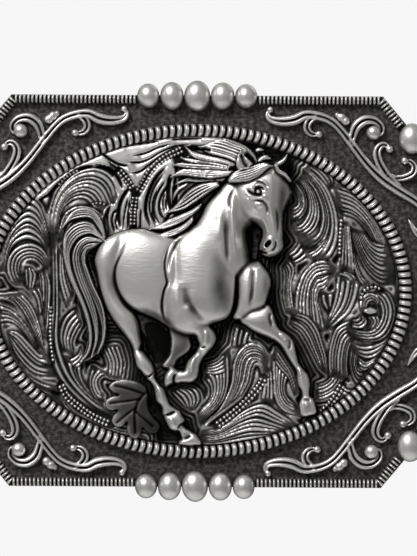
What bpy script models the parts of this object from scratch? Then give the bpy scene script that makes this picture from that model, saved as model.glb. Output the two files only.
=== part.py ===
"""Western trophy belt buckle: an octagonal plate with rope edging, berry groups, corner scrolls and a
running horse in an oval rope ring, and a strap bail and a belt hook behind. Metres, +Z up, face to -Y.
The origin is the centre of the plaque's rear face, which lies against the belt."""

import math

import bmesh
import bpy
import numpy as np
from mathutils import Matrix, Vector

MM = 0.001
GAP = 0.05

# Plate: half width, half height and the start of the clipped corner on each edge.
HALF_W = 40.4
HALF_H = 32.45
CLIP_X = 30.8
CLIP_Z = 20.0
PLATE_T = 2.0
PLAQUE_T = 0.6
PLAQUE_W = 26.0
PLAQUE_H = 20.0
BACK_Y = -(PLAQUE_T + GAP)

# Heights above the plate's rear face, towards the viewer.
PLATE_TOP = PLATE_T
PANEL_T = 0.8
PANEL_TOP = PLATE_TOP + GAP + PANEL_T
PANEL_A = 33.4
PANEL_B = 25.35

# Oval rope ring.
RING_A = 34.72
RING_B = 26.67
RING_HALF_W = 1.03
RING_H = 1.65
RING_VALLEY = 0.72
RING_RIBS = 164

# Rope wire along the edge.
ROPE_HALF_W = 0.72
ROPE_H = 1.3
ROPE_INSET = 0.76
ROPE_FROM_GROUP = 10.05
ROPE_FROM_CORNER = 2.75

# Berries: offset along the edge, half width along it, half height across it.
BERRY_ROW = ((-8.1, 1.75, 2.02), (-4.2, 1.83, 2.3), (0.0, 2.07, 2.6), (4.2, 1.83, 2.3), (8.1, 1.75, 2.02))
BERRY_INSET = 0.15
BERRY_H = 2.4
CORNER_BERRY = (35.6, 25.45, 2.15, 2.6)
LOBE_MARGIN = 0.35

# Bail: a wire loop that turns in a tube on the back.
HINGE_X = 22.0
BAIL_REACH = 14.0
BAIL_HALF = 22.0
BAIL_R = 1.5
BAIL_BEND = 3.0
BAIL_END = 9.0
TUBE_R = 2.6
TUBE_BORE_R = 1.59
TUBE_HALF = 18.6
STRIP_T = 0.8
STRIP_W = 8.0
STRIP_HALF = 17.6

# Hook for the belt's holes.
HOOK_X = -30.5
HOOK_BASE_X = -29.0
HOOK_BASE_W = 12.0
HOOK_BASE_H = 9.0
HOOK_BASE_T = 1.2
RIVET_R = 1.3
RIVET_H = 0.7


def clear_scene():
    for obj in list(bpy.data.objects):
        bpy.data.objects.remove(obj, do_unlink=True)


def new_collection(name):
    collection = bpy.data.collections.new(name)
    bpy.context.scene.collection.children.link(collection)
    return collection


def material(name, color, roughness, metallic=1.0):
    mat = bpy.data.materials.new(name)
    mat.use_nodes = True
    shader = mat.node_tree.nodes["Principled BSDF"]
    shader.inputs["Base Color"].default_value = (*color, 1.0)
    shader.inputs["Roughness"].default_value = roughness
    shader.inputs["Metallic"].default_value = metallic
    return mat


def place(obj, collection):
    for other in list(obj.users_collection):
        other.objects.unlink(obj)
    collection.objects.link(obj)


def add_mesh(name, mesh, mat, smooth=None):
    obj = bpy.data.objects.new(name, mesh)
    PARTS.objects.link(obj)
    obj.data.materials.clear()
    obj.data.materials.append(mat)
    if smooth is not None:
        obj.data.shade_smooth()
        obj.data.set_sharp_from_angle(angle=math.radians(smooth))
    return obj


def add_cutter(name, mesh):
    obj = bpy.data.objects.new(name, mesh)
    CUTTERS.objects.link(obj)
    obj.hide_render = True
    obj.display_type = "WIRE"
    return obj


def front(height):
    """World y of a height above the plate's rear face."""
    return BACK_Y - height


def curve_object(name, points, radii, resolution, sides):
    """A bevelled curve through (x, y, z) points in millimetres, with filled caps."""
    curve = bpy.data.curves.new(name, "CURVE")
    curve.dimensions = "3D"
    curve.bevel_depth = MM
    curve.bevel_resolution = sides // 2 - 2
    curve.use_fill_caps = True
    curve.resolution_u = resolution
    spline = curve.splines.new("BEZIER" if resolution > 1 else "POLY")
    if resolution > 1:
        spline.bezier_points.add(len(points) - 1)
        for target, point, radius in zip(spline.bezier_points, points, radii):
            target.co = Vector(point) * MM
            target.handle_left_type = "AUTO"
            target.handle_right_type = "AUTO"
            target.radius = radius
    else:
        spline.points.add(len(points) - 1)
        for target, point, radius in zip(spline.points, points, radii):
            target.co = (*(Vector(point) * MM), 1.0)
            target.radius = radius
    return bpy.data.objects.new(name, curve)


def mesh_from_curve(obj):
    """The curve's mesh with its caps welded. The curve object is removed."""
    PARTS.objects.link(obj)
    bpy.context.view_layer.update()
    graph = bpy.context.evaluated_depsgraph_get()
    mesh = bpy.data.meshes.new_from_object(obj.evaluated_get(graph))
    bpy.data.objects.remove(obj, do_unlink=True)
    welded = bmesh.new()
    welded.from_mesh(mesh)
    bmesh.ops.remove_doubles(welded, verts=welded.verts, dist=1e-6)
    bmesh.ops.recalc_face_normals(welded, faces=welded.faces)
    welded.to_mesh(mesh)
    welded.free()
    return mesh


def prism(name, outline, low, high, mat=None, smooth=None):
    """A flat outline of (x, z) points, made thick from one height to another above the plate's rear."""
    curve = bpy.data.curves.new(name, "CURVE")
    curve.dimensions = "2D"
    curve.fill_mode = "BOTH"
    curve.extrude = (high - low) / 2 * MM
    spline = curve.splines.new("POLY")
    spline.points.add(len(outline) - 1)
    for target, (x, z) in zip(spline.points, outline):
        target.co = (x * MM, z * MM, 0.0, 1.0)
    spline.use_cyclic_u = True
    mesh = mesh_from_curve(bpy.data.objects.new(name, curve))
    upright = Matrix.Rotation(math.radians(90), 4, "X")
    mesh.transform(Matrix.Translation((0, front((low + high) / 2) * MM, 0)) @ upright)
    return add_mesh(name, mesh, mat, smooth) if mat else add_cutter(name, mesh)


def ellipse(a, b, count):
    turn = [2 * math.pi * k / count for k in range(count)]
    return [(a * math.cos(t), b * math.sin(t)) for t in turn]


def even_ellipse(a, b, count):
    """Points spaced evenly along an ellipse, with the outward normal at each."""
    fine = np.linspace(0.0, 2 * math.pi, 4001)
    x = a * np.cos(fine)
    z = b * np.sin(fine)
    length = np.concatenate([[0.0], np.cumsum(np.hypot(np.diff(x), np.diff(z)))])
    turn = np.interp(np.arange(count) * length[-1] / count, length, fine)
    points = np.stack([a * np.cos(turn), b * np.sin(turn)], axis=1)
    normals = np.stack([b * np.cos(turn), a * np.sin(turn)], axis=1)
    return points, normals / np.linalg.norm(normals, axis=1)[:, None]


def loft(name, sections, closed, mat, smooth=35):
    """Joins equal-length rings of (x, y, z) millimetre points into one skin, capped unless closed."""
    count = len(sections[0])
    skin = bmesh.new()
    rings = [[skin.verts.new(Vector(p) * MM) for p in section] for section in sections]
    last = len(rings) if closed else len(rings) - 1
    for i in range(last):
        here = rings[i]
        there = rings[(i + 1) % len(rings)]
        for k in range(count):
            after = (k + 1) % count
            skin.faces.new((here[k], here[after], there[after], there[k]))
    if not closed:
        skin.faces.new(rings[0])
        skin.faces.new(rings[-1])
    bmesh.ops.recalc_face_normals(skin, faces=skin.faces)
    mesh = bpy.data.meshes.new(name)
    skin.to_mesh(mesh)
    skin.free()
    return add_mesh(name, mesh, mat, smooth)


def joined(name, meshes):
    whole = bmesh.new()
    for mesh in meshes:
        whole.from_mesh(mesh)
    result = bpy.data.meshes.new(name)
    whole.to_mesh(result)
    whole.free()
    return result


def stroke_mesh(stroke, mirror=(1, 1)):
    """A tapering rounded ridge through (x, z, radius) points: flatness squashes its height."""
    flatness, lift, base, rows = stroke
    points = [(x * mirror[0], 0.0, z * mirror[1]) for x, z, _ in rows]
    obj = curve_object("ridge", points, [radius for _, _, radius in rows], 3, 8)
    mesh = mesh_from_curve(obj)
    mesh.transform(Matrix.Translation((0, front(base + lift) * MM, 0)) @ Matrix.Diagonal((1, flatness, 1, 1)))
    return mesh


def mass_mesh(mass):
    """A rounded mass: centre, radii across, along and towards the viewer, and its turn."""
    x, z, rx, rz, height, turn, base = mass
    ball = bmesh.new()
    bmesh.ops.create_uvsphere(ball, u_segments=20, v_segments=12, radius=1.0)
    mesh = bpy.data.meshes.new("mass")
    ball.to_mesh(mesh)
    ball.free()
    spin = Matrix.Rotation(math.radians(-turn), 4, "Y")
    size = Matrix.Diagonal((rx * MM, height * MM, rz * MM, 1))
    mesh.transform(Matrix.Translation((x * MM, front(base) * MM, z * MM)) @ spin @ size)
    return mesh


def relief(name, meshes, keep, voxel, ratio, mat):
    """One casting from overlapping ridges and masses, with the flat back that the keep solid gives it."""
    obj = add_mesh(name, joined(name, meshes), mat)
    skin = obj.modifiers.new("skin", "REMESH")
    skin.mode = "VOXEL"
    skin.voxel_size = voxel * MM
    thin = obj.modifiers.new("thin", "DECIMATE")
    thin.ratio = ratio
    trim = obj.modifiers.new("flat_back", "BOOLEAN")
    trim.operation = "INTERSECT"
    trim.object = keep
    trim.solver = "EXACT"
    obj.data.shade_smooth()
    return obj


def lobe(x, z, rx, rz, beyond):
    """The part of a berry's backing that stands out past the plate's edge, with its two ends on the edge.
    beyond gives a point's distance outside the edge."""
    count = 16
    turn = [2 * math.pi * k / count for k in range(count)]
    ring = [Vector((x + (rx - LOBE_MARGIN) * math.cos(t), z + (rz - LOBE_MARGIN) * math.sin(t))) for t in turn]
    points = []
    for here, there in zip(ring, ring[1:] + ring[:1]):
        if beyond(here) > 0:
            points.append(here)
        if beyond(here) * beyond(there) < 0:
            points.append(here.lerp(there, beyond(here) / (beyond(here) - beyond(there))))
    return points


def plate_outline():
    """Counter-clockwise octagon with a lobe behind each berry."""
    normal = Vector(CHAMFER_NORMAL)
    reach = normal.dot(Vector((CLIP_X, HALF_H)))
    right = []
    top = []
    for offset, along, across in BERRY_ROW:
        right += lobe(HALF_W - BERRY_INSET, offset, across, along, lambda p: p.x - HALF_W)
        top += lobe(offset, HALF_H - BERRY_INSET, along, across, lambda p: p.y - HALF_H)
    corner = lobe(*CORNER_BERRY, lambda p: normal.dot(p) - reach)
    corner.sort(key=lambda p: p.y * normal.x - p.x * normal.y)
    right.sort(key=lambda p: p.y)
    top.sort(key=lambda p: -p.x)
    upper = [Vector((HALF_W, CLIP_Z)), *corner, Vector((CLIP_X, HALF_H))]
    half = right + upper + top + [Vector((-p.x, p.y)) for p in reversed(upper)]
    return [tuple(p) for p in half] + [(-p.x, -p.y) for p in half]


def rope_path(signs, upright):
    """Centre line of one edge wire, from a berry group round the corner to the corner berry."""
    nx, nz = CHAMFER_NORMAL
    reach = nx * CLIP_X + nz * HALF_H - ROPE_INSET
    berry = Vector((CORNER_BERRY[0], CORNER_BERRY[1]))
    along = Vector((nz, -nx))
    foot = berry + Vector(CHAMFER_NORMAL) * (reach - berry.dot(Vector(CHAMFER_NORMAL)))
    if upright:
        x = HALF_W - ROPE_INSET
        corner = ((reach - nx * x) / nz)
        end = foot + along * ROPE_FROM_CORNER
        path = [(x, ROPE_FROM_GROUP), (x, corner), (end.x, end.y)]
    else:
        z = HALF_H - ROPE_INSET
        corner = ((reach - nz * z) / nx)
        end = foot - along * ROPE_FROM_CORNER
        path = [(ROPE_FROM_GROUP, z), (corner, z), (end.x, end.y)]
    return [Vector((x * signs[0], z * signs[1])) for x, z in path]


def rope(name, path):
    """A half-round wire with a flat back along a path with one bend."""
    ahead = (path[1] - path[0]).normalized()
    beyond = (path[2] - path[1]).normalized()
    middle = (ahead + beyond).normalized()
    stretch = 1.0 / middle.dot(ahead)
    profile = [(-1.0, 0.0), (-0.86, 0.62), (-0.4, 0.97), (0.4, 0.97), (0.86, 0.62), (1.0, 0.0)]
    low = PLATE_TOP + GAP
    sections = []
    for point, way, wide in zip(path, (ahead, middle, beyond), (1.0, stretch, 1.0)):
        side = Vector((-way.y, way.x)) * ROPE_HALF_W * wide
        ring = [(point.x + side.x * u, front(low + ROPE_H * v), point.y + side.y * u) for u, v in profile]
        sections.append(ring)
    return loft(name, sections, False, SILVER)


def berry(name, x, z, rx, rz):
    """A domed ball with a flat seat, turned as a profile and stretched to an oval."""
    steps = 4
    profile = [(math.sin(t), math.cos(t)) for t in np.linspace(0.0, math.pi / 2, steps + 1)]
    mesh = bpy.data.meshes.new(name)
    mesh.from_pydata([(r, 0.0, h) for r, h in profile], [(k, k + 1) for k in range(steps)], [])
    turned = bpy.data.objects.new(name, mesh)
    PARTS.objects.link(turned)
    screw = turned.modifiers.new("turn", "SCREW")
    screw.steps = 12
    screw.render_steps = 12
    screw.use_merge_vertices = True
    screw.merge_threshold = 0.0001
    bpy.context.view_layer.update()
    graph = bpy.context.evaluated_depsgraph_get()
    dome = bpy.data.meshes.new_from_object(turned.evaluated_get(graph))
    bpy.data.objects.remove(turned, do_unlink=True)
    closed = bmesh.new()
    closed.from_mesh(dome)
    bmesh.ops.remove_doubles(closed, verts=closed.verts, dist=1e-5)
    bmesh.ops.holes_fill(closed, edges=[e for e in closed.edges if e.is_boundary], sides=0)
    bmesh.ops.recalc_face_normals(closed, faces=closed.faces)
    closed.to_mesh(dome)
    closed.free()
    forward = Matrix.Rotation(math.radians(90), 4, "X")
    size = Matrix.Diagonal((rx * MM, rz * MM, BERRY_H * MM, 1))
    seat = Matrix.Translation((x * MM, front(PLATE_TOP + GAP) * MM, z * MM))
    dome.transform(seat @ forward @ size)
    return add_mesh(name, dome, SILVER, 60)


# Scroll ornament of the upper right corner, as (x, z, radius) ridges.
SCROLL_FLAT = 0.95
SCROLL_LIFT = 0.3
SCROLL_RIDGES = (
    ((12.1, 30.3, 0.28), (11.7, 29.3, 0.42), (12.3, 28.5, 0.5), (14.2, 28.2, 0.55), (16.2, 28.6, 0.6),
     (18.0, 29.3, 0.65), (20.2, 29.1, 0.65), (22.2, 28.3, 0.65), (23.9, 26.7, 0.65), (26.0, 24.0, 0.68),
     (28.3, 21.1, 0.72), (30.8, 18.7, 0.78), (33.6, 16.8, 0.78), (36.2, 15.2, 0.72), (37.6, 13.8, 0.65),
     (38.0, 12.2, 0.6), (37.8, 10.5, 0.55), (36.9, 9.6, 0.55), (36.1, 10.4, 0.5), (35.5, 11.4, 0.35),
     (35.1, 12.1, 0.15)),
    ((25.6, 24.3, 0.5), (26.0, 25.9, 0.55), (26.6, 27.5, 0.6), (27.9, 28.6, 0.62), (29.4, 28.4, 0.6),
     (30.4, 27.4, 0.55), (30.3, 26.4, 0.55), (29.2, 26.2, 0.8)),
    ((19.6, 29.0, 0.5), (18.6, 28.2, 0.55), (18.3, 27.1, 0.52), (18.9, 26.3, 0.45), (20.1, 26.0, 0.28)),
    ((33.4, 17.6, 0.6), (31.9, 19.4, 0.55), (30.5, 21.4, 0.55), (29.9, 23.1, 0.55), (30.2, 24.2, 0.5),
     (31.2, 24.3, 0.42), (32.0, 23.6, 0.25)),
    ((32.6, 18.9, 0.5), (34.2, 19.1, 0.5), (35.6, 19.8, 0.5), (35.9, 20.9, 0.45), (35.3, 21.7, 0.4),
     (34.4, 21.9, 0.22)),
)
SCROLL_BUD = ((23.6, 29.0, 0.35), (24.3, 28.6, 0.75), (24.6, 28.0, 0.5))

# Running horse: rounded masses (x, z, across, along, height, turn, base) and tapering limbs.
HORSE_BASE = PANEL_TOP + GAP
HORSE_MASSES = (
    (-9.6, 3.4, 6.9, 6.4, 3.7, 18, HORSE_BASE),
    (-3.6, 2.2, 6.0, 7.0, 3.5, 20, HORSE_BASE),
    (0.9, 1.7, 5.6, 7.2, 4.3, -14, HORSE_BASE),
    (8.0, 0.9, 3.0, 4.5, 3.1, -8, HORSE_BASE),
    (10.3, 0.9, 2.0, 3.8, 2.9, -6, HORSE_BASE),
    (11.0, 15.6, 4.3, 4.6, 4.6, 10, HORSE_BASE),
    (12.2, 8.2, 1.95, 2.4, 4.2, 0, HORSE_BASE),
)
HORSE_LIMBS = (
    (0.75, 0.4, HORSE_BASE, ((4.0, 3.0, 4.6), (3.9, 8.0, 4.1), (4.6, 12.5, 3.1), (6.6, 16.5, 2.5))),
    (0.95, 0.9, HORSE_BASE, ((11.4, 17.5, 3.6), (11.9, 13.5, 2.9), (12.3, 9.5, 1.75), (12.3, 7.7, 1.8))),
    (0.7, 0.4, HORSE_BASE, ((-14.9, 7.0, 1.2), (-14.4, 3.0, 2.1), (-13.2, -1.2, 2.4), (-11.6, -5.5, 1.9),
                            (-9.8, -9.8, 0.95), (-8.4, -12.0, 1.25), (-7.3, -14.2, 0.6), (-5.7, -17.3, 0.85),
                            (-4.4, -20.0, 1.0), (-3.2, -21.9, 1.25), (-1.6, -23.4, 0.75), (-0.9, -24.4, 0.85))),
    (0.75, 0.6, HORSE_BASE, ((-2.6, 0.5, 2.2), (-1.9, -4.0, 2.6), (0.6, -6.3, 1.8), (2.0, -8.2, 1.25),
                             (0.3, -10.3, 0.85), (-0.6, -13.0, 0.9), (-1.7, -14.1, 0.75), (-3.3, -14.0, 0.7),
                             (-4.3, -14.5, 0.85))),
    (0.7, 0.2, HORSE_BASE, ((-2.9, -5.9, 1.9), (-2.7, -8.6, 1.6), (-3.9, -11.0, 0.8), (-4.9, -12.2, 0.6))),
    (0.8, 0.5, HORSE_BASE, ((9.0, -3.0, 1.8), (11.8, -5.2, 1.8), (14.4, -8.1, 1.45), (16.0, -11.2, 0.8),
                            (17.4, -13.9, 0.85), (18.0, -16.6, 0.6), (18.3, -18.6, 0.95), (18.4, -19.6, 1.0))),
    (0.6, 0.5, HORSE_BASE, ((-14.6, 8.2, 0.7), (-16.6, 10.3, 1.9), (-19.4, 9.9, 2.4), (-20.6, 6.2, 1.9),
                            (-19.6, 2.0, 1.8), (-17.9, -2.0, 1.8), (-16.9, -6.2, 1.6), (-17.4, -9.6, 1.3),
                            (-18.9, -11.8, 0.4))),
    (0.6, 0.6, HORSE_BASE, ((8.2, 23.0, 0.6), (4.9, 22.6, 2.1), (1.0, 22.0, 2.3), (-2.2, 20.2, 1.5),
                            (-4.2, 19.0, 0.5))),
    (0.6, 0.5, HORSE_BASE, ((2.8, 24.6, 0.5), (-1.5, 24.4, 1.0), (-6.0, 23.4, 1.5), (-11.0, 22.2, 1.3),
                            (-15.4, 22.2, 0.5))),
    (0.6, 0.5, HORSE_BASE, ((4.8, 18.2, 1.0), (2.6, 17.4, 1.2), (-0.5, 15.4, 1.3), (-3.6, 13.4, 1.1),
                            (-5.4, 12.8, 0.4))),
    (0.6, 0.5, HORSE_BASE, ((2.0, 15.2, 0.9), (-0.9, 12.6, 1.2), (-4.0, 10.4, 1.2), (-8.2, 9.6, 0.5))),
    (0.7, 1.7, HORSE_BASE, ((5.6, 18.4, 0.6), (8.2, 19.4, 1.1), (10.8, 20.3, 1.1), (12.6, 20.6, 0.6))),
    (0.7, 1.4, HORSE_BASE, ((7.9, 20.0, 1.3), (7.3, 21.6, 0.7), (7.1, 22.7, 0.2))),
    (0.7, 1.4, HORSE_BASE, ((13.2, 20.4, 0.9), (14.2, 21.4, 0.5), (14.9, 22.4, 0.2))),
)

# Oak leaf under the tail.
LEAF_RIDGES = (
    (0.7, 0.1, HORSE_BASE, ((-8.6, -17.0, 0.5), (-10.2, -18.6, 0.9), (-10.2, -21.0, 1.0), (-9.9, -23.2, 0.8))),
    (0.7, 0.1, HORSE_BASE, ((-10.0, -18.6, 0.8), (-12.2, -18.6, 0.8), (-14.2, -18.4, 0.6))),
    (0.7, 0.1, HORSE_BASE, ((-9.6, -17.2, 0.7), (-11.8, -16.3, 0.7), (-13.8, -15.8, 0.7))),
    (0.7, 0.1, HORSE_BASE, ((-10.2, -19.0, 0.8), (-11.4, -20.4, 0.8), (-12.0, -21.7, 0.8))),
    (0.7, 0.1, HORSE_BASE, ((-9.8, -19.4, 0.8), (-8.0, -21.2, 0.8), (-6.7, -22.6, 0.6))),
)


def ring_sections():
    """Sections of the rope ring, alternately at a rib's crest and in the valley after it."""
    points, normals = even_ellipse(RING_A, RING_B, 2 * RING_RIBS)
    low = PLATE_TOP + GAP
    sections = []
    for k, (point, normal) in enumerate(zip(points, normals)):
        rise = RING_H if k % 2 == 0 else RING_H * RING_VALLEY
        shape = ((-RING_HALF_W, 0.0), (-0.6 * RING_HALF_W, rise), (0.6 * RING_HALF_W, rise), (RING_HALF_W, 0.0))
        sections.append([(point[0] + normal[0] * u, front(low + v), point[1] + normal[1] * u) for u, v in shape])
    return sections


def bail_path():
    """Centre line of the bail wire in its own plane: from one end in the tube round to the other."""
    corners = [(0.0, -BAIL_HALF), (BAIL_REACH, -BAIL_HALF), (BAIL_REACH, BAIL_HALF), (0.0, BAIL_HALF)]
    turns = [(-0.5, 0.0), (0.0, 0.5), (0.5, 1.0), (1.0, 1.5)]
    signs = [(1, 1), (-1, 1), (-1, -1), (1, -1)]
    path = [(0.0, -BAIL_HALF + BAIL_END)]
    for (x, z), (sx, sz), (start, stop) in zip(corners, signs, turns):
        cx = x + sx * BAIL_BEND
        cz = z + sz * BAIL_BEND
        first = {(1, 1): 180, (-1, 1): 270, (-1, -1): 0, (1, -1): 90}[(sx, sz)]
        for k in range(6):
            angle = math.radians(first + 90 * k / 5)
            path.append((cx + BAIL_BEND * math.cos(angle), cz + BAIL_BEND * math.sin(angle)))
    path.append((0.0, BAIL_HALF - BAIL_END))
    return path


def build_back():
    """Strip, tube and bail on one side, and hook, base and rivets on the other."""
    strip_low = GAP
    axis = strip_low + STRIP_T + GAP + TUBE_R

    bpy.ops.mesh.primitive_cube_add(size=1)
    strip = bpy.context.object
    strip.data.transform(Matrix.Diagonal((STRIP_W * MM, STRIP_T * MM, 2 * STRIP_HALF * MM, 1)))
    finish_primitive(strip, "bail_strip", STEEL)
    strip.location = (HINGE_X * MM, (BACK_Y + strip_low + STRIP_T / 2) * MM, 0)

    bpy.ops.mesh.primitive_cylinder_add(vertices=32, radius=TUBE_R * MM, depth=2 * TUBE_HALF * MM)
    tube = bpy.context.object
    finish_primitive(tube, "bail_tube", STEEL)
    tube.location = (HINGE_X * MM, (BACK_Y + axis) * MM, 0)
    tube.data.shade_smooth()
    tube.data.set_sharp_from_angle(angle=math.radians(35))
    bpy.ops.mesh.primitive_cylinder_add(vertices=32, radius=TUBE_BORE_R * MM, depth=3 * TUBE_HALF * MM)
    bore = bpy.context.object
    bore.name = "bail_tube_bore"
    bore.location = tube.location
    bore.hide_render = True
    bore.display_type = "WIRE"
    place(bore, CUTTERS)
    drill = tube.modifiers.new("bore", "BOOLEAN")
    drill.operation = "DIFFERENCE"
    drill.object = bore
    drill.solver = "EXACT"

    path = [(x, 0.0, z) for x, z in bail_path()]
    bail = add_mesh("bail_loop", mesh_from_curve(curve_object("bail", path, [BAIL_R] * len(path), 1, 16)),
                    STEEL, 50)
    bail.location = (HINGE_X * MM, (BACK_Y + axis) * MM, 0)

    bpy.ops.mesh.primitive_cube_add(size=1)
    base = bpy.context.object
    base.data.transform(Matrix.Diagonal((HOOK_BASE_W * MM, HOOK_BASE_T * MM, HOOK_BASE_H * MM, 1)))
    finish_primitive(base, "hook_base", STEEL)
    base.location = (HOOK_BASE_X * MM, (BACK_Y + GAP + HOOK_BASE_T / 2) * MM, 0)
    round_off = base.modifiers.new("edges", "BEVEL")
    round_off.width = 0.25 * MM
    round_off.segments = 1

    foot = BACK_Y + 2 * GAP + HOOK_BASE_T
    rise = ((0.0, 0.0, 2.0), (0.0, 0.6, 1.75), (0.0, 3.4, 1.5), (0.7, 5.6, 1.45), (2.4, 7.3, 1.4),
            (4.6, 8.1, 1.25), (5.7, 8.3, 0.95), (6.1, 8.35, 0.45))
    points = [(HOOK_X + x, foot + y, 0.0) for x, y, _ in rise]
    prong = mesh_from_curve(curve_object("prong", points, [radius for _, _, radius in rise], 2, 12))
    keep_high = add_cutter("prong_foot_keep", bpy.data.meshes.new("prong_foot_keep"))
    block = bmesh.new()
    bmesh.ops.create_cube(block, size=1.0)
    block.to_mesh(keep_high.data)
    block.free()
    keep_high.data.transform(Matrix.Diagonal((30 * MM, 20 * MM, 20 * MM, 1)))
    keep_high.location = (HOOK_X * MM, (foot + 10) * MM, 0)
    hook = add_mesh("hook_prong", prong, STEEL, 50)
    trim = hook.modifiers.new("flat_foot", "BOOLEAN")
    trim.operation = "INTERSECT"
    trim.object = keep_high
    trim.solver = "EXACT"

    for name, side in (("hook_rivet_upper", 1), ("hook_rivet_lower", -1)):
        bpy.ops.mesh.primitive_cone_add(vertices=16, radius1=RIVET_R * MM, radius2=0.7 * RIVET_R * MM,
                                        depth=RIVET_H * MM)
        rivet = bpy.context.object
        finish_primitive(rivet, name, STEEL)
        rivet.rotation_euler = (math.radians(-90), 0, 0)
        rivet.location = ((HOOK_BASE_X + 3.4) * MM, (foot + RIVET_H / 2) * MM, side * 2.6 * MM)


def finish_primitive(obj, name, mat):
    obj.name = name
    obj.data.name = name
    obj.data.materials.append(mat)
    place(obj, PARTS)


def build_front():
    prism("base_plate", plate_outline(), 0.0, PLATE_TOP, DARK_SILVER)
    prism("back_plaque", rounded_box(PLAQUE_W / 2, PLAQUE_H / 2, 2.0), -PLAQUE_T - GAP, -GAP, STEEL)
    prism("centre_panel", ellipse(PANEL_A, PANEL_B, 72), PLATE_TOP + GAP, PANEL_TOP, DARK_SILVER)
    loft("oval_rope_ring", ring_sections(), True, SILVER)

    keep_panel = prism("keep_in_oval", ellipse(PANEL_A, PANEL_B, 72), HORSE_BASE, HORSE_BASE + 12)
    horse = [mass_mesh(mass) for mass in HORSE_MASSES] + [stroke_mesh(limb) for limb in HORSE_LIMBS]
    relief("horse_figure", horse, keep_panel, 0.32, 0.034, SILVER)
    leaf = [stroke_mesh(ridge) for ridge in LEAF_RIDGES]
    relief("oak_leaf", leaf, keep_panel, 0.25, 0.07, DARK_SILVER)

    plate_face = PLATE_TOP + GAP
    wide = [(-50.0, -40.0), (50.0, -40.0), (50.0, 40.0), (-50.0, 40.0)]
    keep_plate = prism("keep_above_plate", wide, plate_face, plate_face + 10)
    for label, signs in CORNERS.items():
        ridges = [stroke_mesh((SCROLL_FLAT, SCROLL_LIFT, plate_face, rows), signs) for rows in SCROLL_RIDGES]
        relief("scroll_" + label, ridges, keep_plate, 0.2, 0.027, SILVER)
        bud = [stroke_mesh((SCROLL_FLAT, SCROLL_LIFT, plate_face, SCROLL_BUD), signs)]
        relief("bud_" + label, bud, keep_plate, 0.15, 0.09, SILVER)
        rope("rope_across_" + label, rope_path(signs, False))
        rope("rope_down_" + label, rope_path(signs, True))
        x, z, rx, rz = CORNER_BERRY
        berry("berry_" + label, x * signs[0], z * signs[1], rx, rz)
    for number, (offset, along, across) in enumerate(BERRY_ROW, 1):
        berry("berry_top_%d" % number, offset, HALF_H - BERRY_INSET, along, across)
        berry("berry_bottom_%d" % number, offset, -HALF_H + BERRY_INSET, along, across)
        berry("berry_right_%d" % number, HALF_W - BERRY_INSET, offset, across, along)
        berry("berry_left_%d" % number, -HALF_W + BERRY_INSET, offset, across, along)


def rounded_box(half_x, half_z, radius):
    points = []
    for quarter, (sx, sz) in enumerate(((1, 1), (-1, 1), (-1, -1), (1, -1))):
        for k in range(5):
            angle = math.radians(90 * quarter + 90 * k / 4)
            x = sx * (half_x - radius) + radius * math.cos(angle)
            z = sz * (half_z - radius) + radius * math.sin(angle)
            points.append((x, z))
    return points


CORNERS = {"top_right": (1, 1), "top_left": (-1, 1), "bottom_left": (-1, -1), "bottom_right": (1, -1)}
CHAMFER = Vector((HALF_H - CLIP_Z, HALF_W - CLIP_X)).normalized()
CHAMFER_NORMAL = (CHAMFER.x, CHAMFER.y)

clear_scene()
PARTS = new_collection("western_belt_buckle")
CUTTERS = new_collection("cutters")
SILVER = material("antique_silver", (0.62, 0.61, 0.58), 0.32)
DARK_SILVER = material("oxidised_silver", (0.2, 0.2, 0.18), 0.45)
STEEL = material("plated_steel", (0.5, 0.5, 0.48), 0.35)
build_front()
build_back()
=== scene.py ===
"""Looks of the western trophy buckle: chased panel, running horse, rope ring and wires, berries and corner
scrolls as cast and engraved relief in antiqued silver, with satin-plated hardware behind. Lengths are in
millimetres until a mesh is made; x to the right, z up, and a height stands out from the plate's rear face
towards the viewer. Points are written as text, "x z, x z, ..."; a third number is a radius."""

import math

import bpy
import numpy as np
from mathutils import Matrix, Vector


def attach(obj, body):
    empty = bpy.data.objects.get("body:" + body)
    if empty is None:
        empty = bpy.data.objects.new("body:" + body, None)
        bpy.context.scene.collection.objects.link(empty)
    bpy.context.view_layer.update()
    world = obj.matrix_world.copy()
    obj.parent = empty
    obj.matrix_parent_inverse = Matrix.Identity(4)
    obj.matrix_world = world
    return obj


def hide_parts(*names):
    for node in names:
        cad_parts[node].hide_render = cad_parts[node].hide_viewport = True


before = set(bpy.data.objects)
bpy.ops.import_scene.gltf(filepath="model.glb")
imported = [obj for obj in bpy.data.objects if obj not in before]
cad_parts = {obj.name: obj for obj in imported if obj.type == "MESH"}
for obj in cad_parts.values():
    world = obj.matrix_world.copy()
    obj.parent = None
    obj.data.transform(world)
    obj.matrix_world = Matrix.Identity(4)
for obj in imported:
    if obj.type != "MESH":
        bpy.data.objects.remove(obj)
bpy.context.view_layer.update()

MM = 0.001
REAR_Y = -0.65
PLATE_TOP = 2.0
SEAT = 2.05
PANEL_TOP = 2.85
PANEL_A, PANEL_B = 33.4, 25.35
RING_A, RING_B = 34.72, 26.67
HALF_W, HALF_H = 40.4, 32.45
CLIP_X, CLIP_Z = 30.8, 20.0
BERRY_X, BERRY_Z = 35.6, 25.45
OUTSIDE = -1.0
HORSE_CELL, PANEL_CELL, CORNER_CELL = 0.11, 0.17, 0.13
RNG = np.random.default_rng(11)


# ---------------------------------------------------------------- curves and fields


def lengths(rows):
    """How far along a line each of its points lies."""
    return np.concatenate([[0], np.cumsum(np.hypot(*np.diff(rows[:, :2], axis=0).T))])


def spaced(rows, step, count=None):
    """The same line with evenly spaced points."""
    length = lengths(rows)
    at = np.linspace(0, length[-1], count or max(int(length[-1] / step), 4) + 1)
    return np.stack([np.interp(at, length, column) for column in rows.T], axis=1)


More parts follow.
